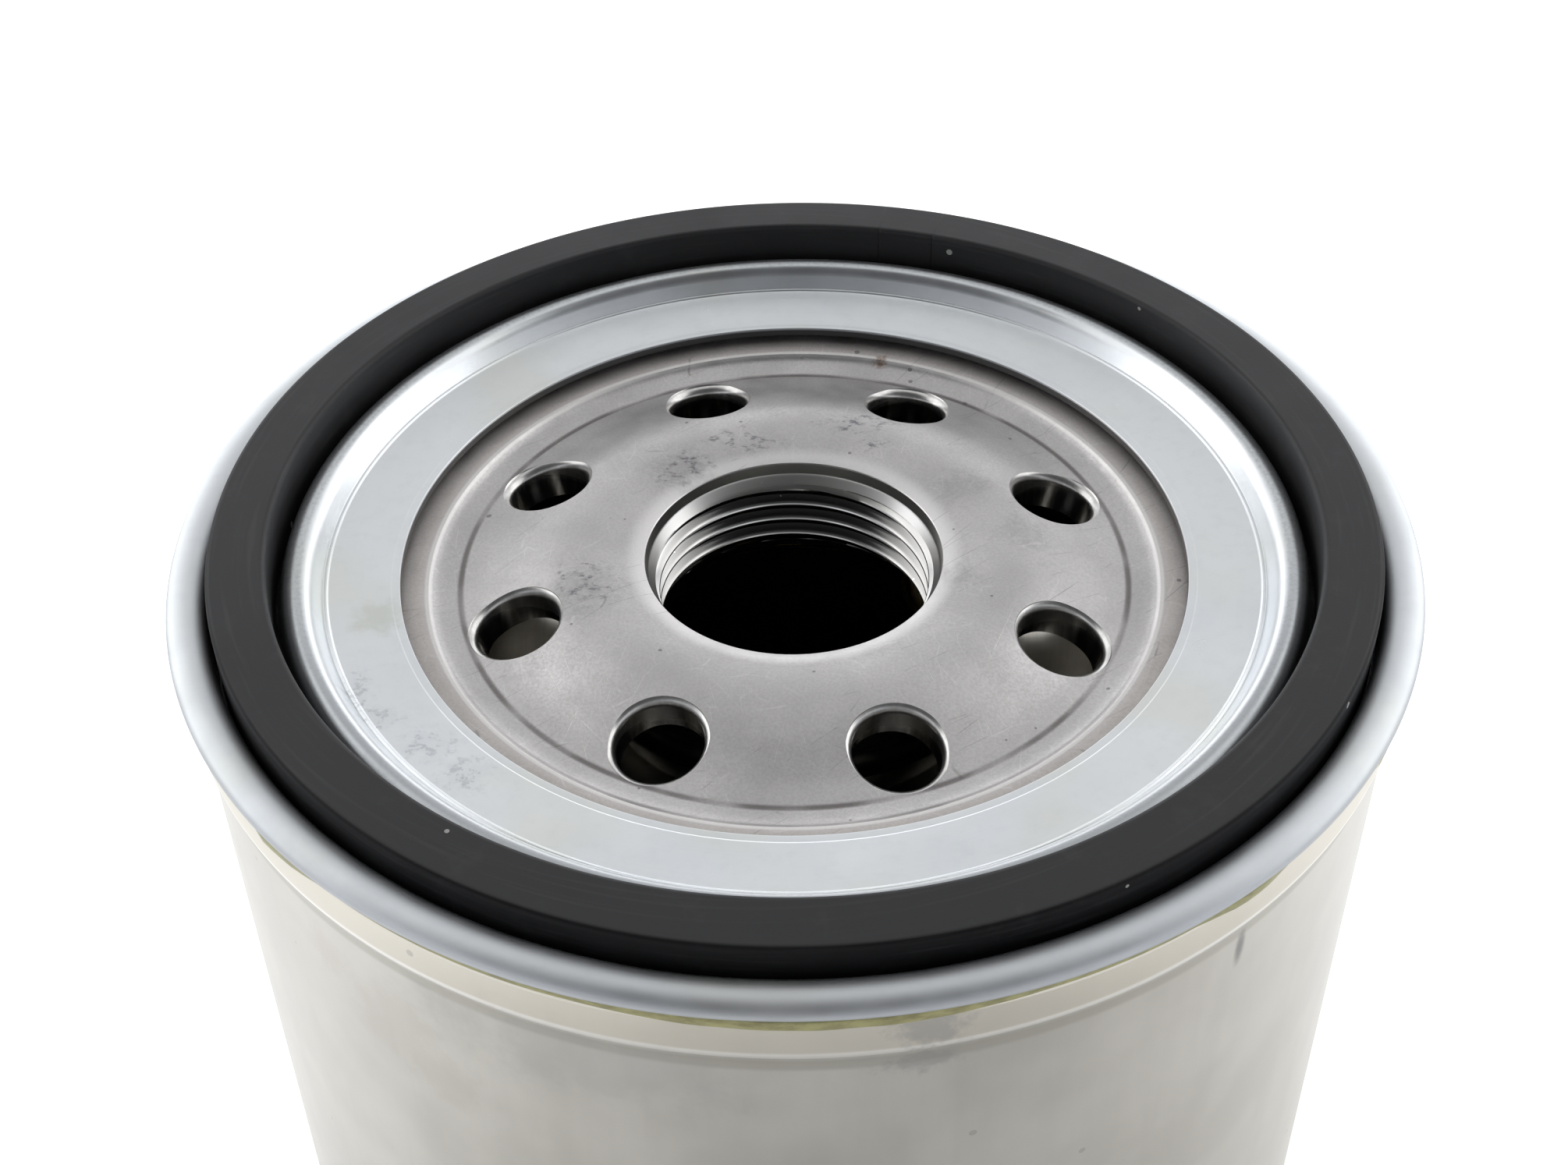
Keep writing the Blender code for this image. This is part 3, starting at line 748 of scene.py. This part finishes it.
def paper():
    """Resin-treated filter paper: matted fibres, embossed lightly across the pleats."""
    look = Look("filter_paper")
    fibres = look.noise(0.35, 4.0, 0.7, stretch=(1.0, 1.0, 0.35), warp=1.5)
    clouds = look.noise(5.0, 4.0, 0.6)
    look.ground(look.ramp(clouds, 0.3, 0.7), (0.62, 0.47, 0.23), (0.76, 0.61, 0.34))
    look.layer(look.ramp(fibres, 0.5, 0.75, 0.0, 0.5), (0.86, 0.75, 0.52))
    look.rough(fibres, 0.75, 0.92)
    wave = look.node("TexWave", {"bands_direction": "Z"}, Vector=look.place, Scale=0.16)
    look.bump(wave.outputs["Fac"], 0.05, 0.4)
    look.bump(fibres, 0.04, 0.7)
    return look.material


def plastisol():
    look = Look("plastisol")
    pour = look.noise(3.0, 4.0, 0.6)
    pits = look.specks(0.9, 0.12, 2.0)
    look.ground(look.ramp(pour, 0.3, 0.7), (0.42, 0.11, 0.04), (0.56, 0.18, 0.075))
    look.layer(pits, (0.25, 0.06, 0.03), 0.6)
    look.rough(pour, 0.42, 0.6)
    look.bump(pour, 0.08, 0.5)
    look.bump(pits, -0.06, 0.6)
    return look.material


def nylon():
    look = Look("black_nylon")
    flow = look.noise(2.0, 3.0, 0.6)
    grain = look.noise(0.25, 2.0, 0.6)
    look.ground(look.ramp(flow, 0.3, 0.7), (0.020, 0.020, 0.023), (0.038, 0.038, 0.042))
    look.rough(grain, 0.34, 0.5)
    look.bump(grain, 0.012, 0.5)
    return look.material


# The shell


def make_can():
    corner = 9.0
    panel, rise, thickness = 25.0, 1.6, 0.5
    rim = CAN_RADIUS - 0.05
    corners = [
        (rim, depth(2.85)), (rim, depth(3.7), 0.2), (BEAD_RADIUS - 0.1, depth(4.1), 0.2),
        (BEAD_RADIUS, depth(5.4), 0.8), (BEAD_RADIUS - 0.02, depth(6.85), 0.3),
        (CAN_RADIUS + 0.03, depth(7.9), 0.6), (CAN_RADIUS, depth(8.8), 0.3),
        *arc((CAN_RADIUS - corner, corner), corner, 0, -90, 20),
        (panel, 0, 0.9), (panel - 2.2, rise, 0.9), (0, rise),
    ]
    outline = sheet(corners, thickness, steps=6)
    return lathe("can_body", outline), "shell", "canister", "tinplate"


def make_ring():
    """The plated ring: a narrow land, a flat, the crown, the gasket's groove and the rolled lip."""
    roll = [math.radians(a) for a in range(150, -1, -15)]
    corners = hung(
        (29.6, 4.66), (30.18, 4.68, 0.04), (30.28, 4.645, 0.04), (34.80, 4.27, 0.05),
        (34.98, 4.14, 0.07), (35.18, 4.24, 0.05), (36.10, 2.72, 0.7), (37.10, 2.42, 0.6),
        (38.05, 2.95, 0.55), (38.4, 5.0, 0.3), (38.8, 5.4, 0.3), (43.15, 5.4, 0.3),
        (43.2, 2.9, 0.4),
        *[(44.7 + 1.5 * math.cos(a), 2.75 - 0.97 * math.sin(a)) for a in roll],
    )
    outline = sheet(corners, 0.75, 0.07)
    return lathe("plated_ring", outline), "shell", "seam_plate", "zinc"


def make_compound():
    """The bead of compound under the rolled lip, squeezed out most at a few places."""
    outline = softened(hung(
        (45.1, 2.98), (46.0, 2.98, 0.15), (46.06, 3.3, 0.2), (45.98, 3.85, 0.14),
        (45.72, 4.10, 0.08), (45.1, 3.9),
    ))
    squeezed = [(-89, 13), (-52, 4), (-30, 6), (24, 10), (75, 16), (128, 9), (171, 12), (-137, 4)]

    def uneven(radius, height, angle):
        degrees = np.degrees(angle)
        full = 0.0
        for middle, reach in squeezed:
            away = np.abs((degrees - middle + 180) % 360 - 180)
            full = np.maximum(full, np.clip(1.4 - away / reach, 0, 1))
        wave = 0.03 * np.sin(37 * angle) + 0.02 * np.sin(71 * angle + 1)
        outer = radius > 45.5
        return radius - outer * (0.34 * (1 - full) + wave * full), height

    line = lathe("compound_line", outline, shape=uneven)
    return line, "shell", "seam_sealant", "compound"


def make_gasket():
    inner = 38.76
    outline = block(inner, GASKET_RADIUS, GASKET_FOOT, HEIGHT, (0.2, 0.2, 0.42, 0.42), 6)
    mould_lines = [math.radians(71.2), math.radians(78.2)]
    half = 0.0024
    turns = list(np.arange(LARGE_STEPS) * 2 * np.pi / LARGE_STEPS)
    for line in mould_lines:
        turns = [t for t in turns if abs(t - line) > 2.5 * half]
        turns += [line + half * k for k in (-1.6, -0.8, 0.0, 0.8, 1.6)]
    turns.sort()

    def moulded(radius, height, angle):
        """Two fine flash lines on the inner wall, where the mould's parts met."""
        inside = radius < inner + 0.2
        for line in mould_lines:
            radius = radius + 0.07 * inside * np.clip(1 - np.abs(angle - line) / half, 0, 1)
        return radius, height

    gasket = lathe("face_gasket", outline, turns=turns, shape=moulded)
    return gasket, "shell", "sealing_gasket", "rubber"


def mouth_radius(height):
    """The lead-in bevel above the thread: it is widest at the top."""
    low, high = depth(7.35), depth(6.42)
    share = np.clip((height - low) / (high - low), 0, 1)
    return np.where(height < low, 0.0, THREAD_MINOR + 0.02 + 0.76 * share**0.85)


def thread_radius(phase):
    """The thread's section: a narrow crest at phase 0, sloping flanks and a wide round root."""
    away = np.abs(phase - np.round(phase))
    share = np.clip((away - 0.045) / (0.40 - 0.045), 0, 1)
    share = 1 - (1 - share) ** 1.5
    return THREAD_MINOR + (THREAD_MAJOR - THREAD_MINOR) * share


def plate_section():
    """The threaded plate's outline: the bevel's top, the dome, the flange, the neck and its rim."""
    return softened(hung(
        (float(mouth_radius(depth(7.0))), 7.0), (float(mouth_radius(depth(6.6))), 6.6),
        (11.10, 6.40, 0.05), (11.16, 6.30, 0.04), (11.30, 5.44, 0.02), (11.36, 5.37, 0.02),
        (11.9, 5.20, 0.25), (12.7, 5.01, 0.4), (14.4, 4.73, 0.8), (16.2, 4.63, 0.8),
        (18.0, 4.82, 0.8), (19.8, 5.26, 0.8), (INLET_CIRCLE, INLET_LEVEL, 0.8), (23.5, 6.34, 0.7),
        (25.35, 6.66, 0.12), (26.4, 6.56, 0.5), (27.15, 6.36, 0.3), (27.66, 5.99, 0.07),
        (28.4, 5.92, 0.2), (36.6, 5.9), (37.5, 6.5), (44.1, 6.5, 0.3), (44.1, 9.4, 0.3),
        (37.2, 9.4, 0.6), (36.2, 8.9, 0.6), (28.4, 8.9, 0.8), (25.7, 9.7, 0.8), (21.8, 8.95, 0.8),
        (18.6, 8.0, 0.8), (16.4, 7.8, 0.8), (14.4, 8.2, 0.6), (13.35, 9.3, 0.5),
        (13.2, NECK_DEPTH, 0.3), (THREAD_MAJOR + 0.35, NECK_DEPTH, 0.15),
        (THREAD_MAJOR - 0.05, NECK_DEPTH - 0.3),
    ), closed=False, steps=5)


def inlet_place(i):
    """Where hole i stands, in millimetres: on the dome, leaning outward."""
    turn = Matrix.Rotation(math.radians(INLET_PHASE + 360 * i / INLET_COUNT), 4, "Z")
    out = Matrix.Translation((INLET_CIRCLE, 0, depth(INLET_LEVEL)))
    return turn @ out @ Matrix.Rotation(INLET_LEAN, 4, "Y")


def make_plate():
    """The plate's turned section and its helical bore, then the punched holes' rolled-in edges."""
    per_pitch = 16
    low, high = depth(NECK_DEPTH - 0.3), depth(7.0)
    steps = LARGE_STEPS
    turn = np.arange(steps) / steps
    angle = 2 * np.pi * turn
    section = np.array(plate_section())
    section_radius, section_height = (np.repeat(section[:, k:k + 1], steps, 1) for k in (0, 1))
    plain = turned(section_radius, section_height, angle)

    # A row keeps its phase and climbs one pitch a turn, so the thread's edges follow the rows.
    start = depth(THREAD_CREST_DEPTH) - 0.25 * THREAD_PITCH
    first = math.floor((low - start) / THREAD_PITCH - 1) * per_pitch
    last = math.ceil((high - start) / THREAD_PITCH + 1) * per_pitch
    phases = np.arange(first, last + 1) / per_pitch
    height = start + THREAD_PITCH * (phases[:, None] + turn[None, :])
    fade = np.clip((height - low) / 0.35, 0, 1)
    thread = THREAD_MAJOR + (thread_radius(phases)[:, None] - THREAD_MAJOR) * fade
    height = np.clip(height, low, high)
    radius = np.maximum(thread, mouth_radius(height))
    radius = np.where(height <= low, THREAD_MAJOR - 0.05, radius)
    radius = np.where(height >= high, float(mouth_radius(high)), radius)
    bore = turned(radius, height, angle)

    points = np.concatenate([plain.reshape(-1, 3), bore.reshape(-1, 3)])
    faces = grid_faces(len(section), steps)
    offset = len(section) * steps
    faces += [
        tuple(offset + k for k in face)
        for face in grid_faces(len(phases), steps, shift=per_pitch)
    ]
    plate = add_piece("threaded_plate", mesh_of("threaded_plate", points, faces))
    even_normals(plate)

    foot, top = -6.5, 0.15
    rolled_in = [
        (0, foot), (0, -0.64), (0.03, -0.48), (0.09, -0.34), (0.18, -0.21), (0.30, -0.10),
        (0.44, -0.02), (0.54, top),
    ]
    profile = [(0, foot), *[(INLET_RADIUS + out, up) for out, up in rolled_in], (0, top)]
    cutters = []
    for i in range(INLET_COUNT):
        cutter = lathe(f"inlet_cutter_{i}", profile, 64)
        cutter.modifiers.clear()
        cutter.data.transform(Matrix.Scale(1 / MM, 4))
        cutter.data.transform(inlet_place(i))
        cutter.data.transform(Matrix.Scale(MM, 4))
        cutters.append(cutter)
    cut(plate, cutters, sharp=21)
    return plate, "shell", "base_plate", "bare_steel"


def assign_cut_faces(plate):
    """Gives the bore and the edges and walls of the inlet holes the fresh metal's material."""
    backs = [inlet_place(i).inverted() for i in range(INLET_COUNT)]
    for face in plate.data.polygons:
        place = face.center / MM
        in_hole = False
        for back in backs:
            spot = back @ place
            facing = (back.to_3x3() @ face.normal).z
            in_hole |= spot.xy.length < INLET_RADIUS + 0.6 and -0.5 < facing < 0.9
        in_bore = place.xy.length < 11.34 and place.z < depth(5.36)
        if in_hole or in_bore:
            face.material_index = 1


# The element


def make_end_caps():
    top, foot = span("upper_end_cap")[1], span("lower_end_cap")[0]
    outer = 39.6
    upper = [
        (14.3, top - 3.2), (16.8, top - 3.2, 0.6), (16.8, top, 0.5), (19.2, top, 0.4),
        (outer - 1.0, top, 0.6), (outer, top - 1.0, 0.6), (outer, top - 5.8),
    ]
    lower = [
        (outer, foot + 5.8), (outer, foot + 1.0, 0.6), (outer - 1.0, foot, 0.6), (9.6, foot),
    ]
    made = []
    for name, node, path in (
        ("inlet_side_cap", "upper_end_cap", upper),
        ("far_side_cap", "lower_end_cap", lower),
    ):
        outline = sheet(path, 0.5, 0.1)
        made.append((lathe(name, outline, INNER_STEPS), "element", node, "bright_tinplate"))
    return made


def make_grommet():
    top = span("upper_end_cap")[1]
    outline = softened([
        (13.65, top - 2.9, 0.3), (16.4, top - 2.9, 0.3), (16.4, top + 1.6, 0.8),
        (15.6, top + 3.7, 0.35), (15.0, top + 3.7, 0.35), (13.65, top + 2.4, 0.8),
    ])
    return lathe("grommet", outline, INNER_STEPS), "element", "neck_grommet", "rubber"


def make_bonds():
    """The plastisol poured into each cap, which ends in a slightly wavy edge."""
    def poured(radius, height, angle):
        wave = 0.08 * np.sin(9 * angle) + 0.06 * np.sin(23 * angle + 1)
        return radius - (radius > 30) * (0.12 + wave), height

    made = []
    for name, node in (("far_side_bond", "lower_bond"), ("inlet_side_bond", "upper_bond")):
        low, high, outer = span(node)
        outline = block(19.0, outer, low, high, (0.4, 0.6, 0.6, 0.4))
        made.append((lathe(name, outline, INNER_STEPS, shape=poured), "element", node, "plastisol"))
    return made


def make_media():
    """One paper band folded round the tube. The fold at +X is where its ends are clipped."""
    pleats, outer, inner, paper_half = 60, 37.7, 19.6, 0.28
    low, high, _ = span("pleated_media")
    line = []
    for i in range(pleats):
        tip = 2 * math.pi * i / pleats
        valley = tip + math.pi / pleats
        for radius, middle in ((outer, tip), (inner, valley)):
            half = 0.62 / radius
            lean = 0.30 if radius == outer else -0.30
            fold = ((2.2, -1.0), (0.5, -0.7), (0.0, 0.0), (0.5, 0.7), (2.2, 1.0))
            line += [(radius - lean * back, middle + half * side) for back, side in fold]
            line.append((0.5 * (outer + inner), middle + math.pi / (2 * pleats)))
    path = np.array([(r * math.cos(a), r * math.sin(a)) for r, a in line])
    along = np.roll(path, -1, 0) - np.roll(path, 1, 0)
    along /= np.linalg.norm(along, axis=1)[:, None]
    side = np.stack([along[:, 1], -along[:, 0]], 1) * paper_half
    levels = np.linspace(low, high, 13)
    rows = [(side, level) for level in levels] + [(-side, level) for level in levels[::-1]]
    points = [at_level(path + offset, level) for offset, level in rows]
    faces = grid_faces(len(rows), len(path), wrap_rows=True)
    media = add_piece("pleated_paper", mesh_of("pleated_paper", np.concatenate(points), faces), 60)
    return media, "element", "pleated_media", "paper"


def make_clip():
    """The folded strip that grips the paper's two ends, with a slight crimp along it."""
    low, high, outer = span("media_clip")
    path = [
        (outer - 3.75, -1.0), (outer - 0.35, -1.3, 0.5), (outer - 0.35, 1.3, 0.5), (outer - 3.75, 1.0),
    ]
    section = np.array(sheet(path, 0.35, 0.08))
    levels = np.linspace(low, high, 61)
    points = []
    for i, level in enumerate(levels):
        pinch = 1.0 - 0.06 * (1 - math.cos(2 * math.pi * i / 6)) / 2
        points.append(at_level(section * [1.0, pinch], level))
    faces = tube_faces(len(levels), len(section))
    clip = add_piece("paper_clip", mesh_of("paper_clip", np.concatenate(points), faces))
    even_normals(clip)
    return clip, "element", "media_clip", "bright_tinplate"


def make_tube():
    low, high, outer = span("centre_tube")
    outline = block(outer - 0.6, outer, low, high, (0.12, 0.12, 0.12, 0.12), 3)
    tube = lathe("support_tube", outline, INNER_STEPS)
    rows, per_row = 5, 4
    cutters = []
    for row in range(rows):
        height = low + (high - low) * (row + 0.5) / rows
        for i in range(per_row):
            angle = math.radians(360 * (i + 0.5 * ((row + 1) % 2)) / per_row + 3)
            place = Matrix.Translation((outer, 0, height)) @ Matrix.Rotation(math.pi / 2, 4, "Y")
            bm = bmesh.new()
            bmesh.ops.create_cone(
                bm, cap_ends=True, segments=40, radius1=3.4, radius2=3.4, depth=6,
                matrix=Matrix.Rotation(angle, 4, "Z") @ place,
            )
            cutters.append(add_piece(f"tube_cutter_{row}_{i}", mesh_from("tube_cutter", bm)))
    cut(tube, cutters)
    return tube, "element", "centre_tube", "tube_steel"


def make_spring_plate():
    top = span("spring_plate")[1]
    path = [
        (13.0, top - 3.6), (13.0, top - 0.6, 0.5), (13.6, top, 0.5), (20.8, top, 0.8),
        (21.6, top - 0.9),
    ]
    outline = sheet(path, 0.8, 0.15)
    return lathe("spring_centring_ring", outline, INNER_STEPS), "element", "spring_plate", "tube_steel"


# The bypass valve


def make_seat():
    foot = span("bypass_seat")[0]
    outline = softened([
        (7.4, foot, 0.2), (12.4, foot, 0.2), (12.4, foot + 0.8, 0.2), (9.2, foot + 0.8, 0.3),
        (9.2, foot + 2.2, 0.4), (8.5, foot + 2.8, 0.25), (7.4, foot + 2.8, 0.25),
    ])
    return lathe("valve_seat", outline, SMALL_STEPS), "element", "bypass_seat", "tube_steel"


def make_cage():
    foot, top, _ = span("bypass_cage")
    foot += 0.5
    wall = 11.3
    path = [
        (2.7, top), (wall - 0.8, top, 0.8), (wall, top - 0.8, 0.8), (wall, foot, 0.6), (16.5, foot),
    ]
    outline = sheet(path, 0.5, 0.1)
    cage = lathe("valve_cage", outline, SMALL_STEPS)
    cutters = []
    for i in range(4):
        turn = Matrix.Rotation(math.radians(45 + 90 * i), 4, "Z")
        bm = bmesh.new()
        bmesh.ops.create_cube(bm, size=1, matrix=Matrix.Diagonal((6, 9, 9, 1)))
        upright = [e for e in bm.edges if abs(e.verts[0].co.x - e.verts[1].co.x) > 3]
        bmesh.ops.bevel(bm, geom=upright, offset=1.5, segments=5, affect="EDGES")
        place = turn @ Matrix.Translation((wall, 0, 28.6))
        bmesh.ops.transform(bm, verts=bm.verts, matrix=place)
        cutters.append(add_piece(f"window_cutter_{i}", mesh_from("window_cutter", bm)))
    cut(cage, cutters)
    return cage, "element", "bypass_cage", "tube_steel"


def make_poppet():
    low = span("bypass_poppet")[0]
    stem, disc = 2.2, 8.8
    outline = softened([
        (0, low), (3.6, low, 0.3), (3.6, low + 0.7, 0.2), (stem, low + 0.7, 0.15),
        (stem, low + 2.3, 0.15), (disc, low + 2.3, 0.3), (disc, low + 3.5, 0.4),
        (stem + 0.6, low + 3.9, 0.4), (stem, low + 4.5, 0.4), (stem, low + 16.4, 0.3),
        (stem - 0.5, low + 16.9, 0.3), (0, low + 16.9),
    ])
    return lathe("valve_poppet", outline, SMALL_STEPS), "poppet", "bypass_poppet", "nylon"


def make_seal():
    low, high, _ = span("bypass_seal")
    outline = block(2.5, 8.8, low, high, (0.2, 0.3, 0.3, 0.2))
    return lathe("valve_seal", outline, SMALL_STEPS), "poppet", "bypass_seal", "rubber"


def make_springs():
    low, high, _ = span("element_spring")
    floating = coil("float_spring", low, high, 18.5, 16.6, 1.1, 3.5)
    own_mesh(floating)
    low, high, _ = span("bypass_spring")
    valve = coil("valve_spring", low, high, 6.0, 6.0, 0.5, 4.5)
    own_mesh(valve)
    return [
        (floating, "shell", "element_spring", "spring_steel"),
        (valve, "element", "bypass_spring", "spring_steel"),
    ]


# The studio


def make_camera():
    """Looks down on the mounting face at 40 degrees, from about 16 cm away."""
    pitch, yaw, roll = (math.radians(angle) for angle in (40.511, -0.273, -0.857))
    data = bpy.data.cameras.new("camera")
    data.sensor_width = 36.0
    data.lens = 48.81
    data.clip_start = 0.005
    camera = link_object("camera", data)
    place = Vector((0, -2.8891, 2.2765)) * GASKET_RADIUS + Vector((0, 0, HEIGHT))
    turn = Matrix.Rotation(math.pi / 2 - pitch, 4, "X") @ Matrix.Rotation(-yaw, 4, "Y")
    turn = turn @ Matrix.Rotation(roll, 4, "Z")
    camera.matrix_world = Matrix.Translation(place * MM) @ turn
    bpy.context.scene.camera = camera


def softbox(name, place, aim, size, radiance):
    """A flat soft light. Its power follows from its size and how bright its face is."""
    data = bpy.data.lights.new(name, "AREA")
    data.shape = "RECTANGLE"
    data.size, data.size_y = size
    data.energy = radiance * math.pi * size[0] * size[1]
    light = link_object(name, data)
    light.location = place
    light.rotation_euler = (Vector(aim) - Vector(place)).to_track_quat("-Z", "Y").to_euler()
    light.visible_camera = False


def shade_world(tree):
    """A grey room, darker overhead and in front, where the camera hangs, and light near the table."""
    room = Nodes(tree)
    back = tree.nodes["Background"]
    room.put(back.inputs["Color"], (0.93, 0.95, 1.0))
    towards = room.node("TexCoord").outputs["Generated"]
    _, y, z = room.node("SeparateXYZ", Vector=towards).outputs
    high_up = room.ramp(z, 0.42, 0.66)
    in_front = room.ramp(y, -0.15, 0.25, 1.0, 0.0)
    near_table = room.ramp(z, 0.32, 0.46, 1.0, 0.0)
    to_the_sides = room.ramp(y, -0.93, -0.78, 0.20, 0.75)
    upper = room.ramp(room.product(high_up, in_front), 0.0, 1.0, 0.20, 0.075)
    room.put(back.inputs["Strength"], room.total(upper, room.product(near_table, to_the_sides)))


def make_studio():
    scene = bpy.context.scene
    scene.view_settings.view_transform = "Standard"
    world = bpy.data.worlds.new("studio")
    world.use_nodes = True
    shade_world(world.node_tree)
    scene.world = world
    aim = (0, 0, 0.1)
    softbox("back_light", (0, 1.3, 1.05), aim, (2.2, 1.5), 0.53)
    softbox("top_light", (0, 0.40, 1.55), aim, (2.2, 0.5), 0.62)
    softbox("back_sweep", (0, 2.2, 0.36), (0, 0, 0.36), (5.0, 0.7), 0.75)
    for side, name in ((-1, "left_light"), (1, "right_light")):
        softbox(name, (0.95 * side, 0.38, 0.68), aim, (1.1, 1.15), 1.15)
    make_floor()
    make_backdrop()


def stage_piece(name, bm, look):
    mesh = mesh_from(name, bm)
    mesh.materials.append(look.material)
    obj = link_object(name, mesh)
    return obj


def make_floor():
    """A sheet of pale paper that glows, brighter behind the filter than before it: painted light, with
    painted shade where the glow fades almost to nothing at a spot in front of the filter.
    """
    look = Look("floor_white")
    look.set("Roughness", 0.8)
    look.ground(look.noise(30.0, 2.0, 0.5), (0.84, 0.84, 0.85), (0.88, 0.88, 0.88))
    # painted light and shade: the glow grows with distance from a spot in front of the filter, and is
    # warmer near it
    away = look.vector("LENGTH", look.vector("SUBTRACT", look.place, (30.0, -150.0, 0.0)))
    away = look.math("MINIMUM", look.product(away, 1.0 / 190), 1.1)
    look.set("Emission Color", look.colour(away, (1.0, 0.93, 0.72), (0.98, 0.99, 1.0)))
    look.set("Emission Strength", look.total(look.product(away, away, 0.57), 0.015))
    bm = bmesh.new()
    bmesh.ops.create_circle(bm, cap_ends=True, segments=96, radius=4.0)
    stage_piece("floor", bm, look)


def make_backdrop():
    """A plain pale wall all round, which only the camera sees."""
    look = Look("backdrop_white")
    look.set("Roughness", 1.0)
    look.set("Base Color", (0.0, 0.0, 0.0))
    look.set("Specular IOR Level", 0.0)
    look.set("Emission Color", (0.93, 0.93, 0.94))
    look.set("Emission Strength", 1.0)
    bm = bmesh.new()
    bmesh.ops.create_uvsphere(bm, u_segments=64, v_segments=32, radius=4.0)
    backdrop = stage_piece("backdrop", bm, look)
    for way in ("diffuse", "glossy", "shadow", "transmission"):
        setattr(backdrop, f"visible_{way}", False)


def build():
    makers = {
        "tinplate": tinplate, "zinc": zinc, "compound": compound, "bare_steel": bare_steel,
        "rubber": rubber, "bright_tinplate": bright_tin, "tube_steel": tube_steel,
        "spring_steel": spring_steel, "paper": paper, "plastisol": plastisol, "nylon": nylon,
    }
    looks = {slot: make() for slot, make in makers.items()}
    plate = make_plate()
    pieces = [
        make_can(), make_ring(), make_compound(), plate, make_gasket(),
        *make_end_caps(), make_grommet(), *make_bonds(), make_media(), make_clip(),
        make_tube(), make_spring_plate(), make_seat(), make_cage(), make_poppet(),
        make_seal(), *make_springs(),
    ]
    for obj, body, node, slot in pieces:
        obj.data.materials.clear()
        obj.data.materials.append(looks[slot])
        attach(obj, body)
        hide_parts(node)
    plate[0].data.materials.append(cut_steel())
    assign_cut_faces(plate[0])


make_camera()
make_studio()
build()
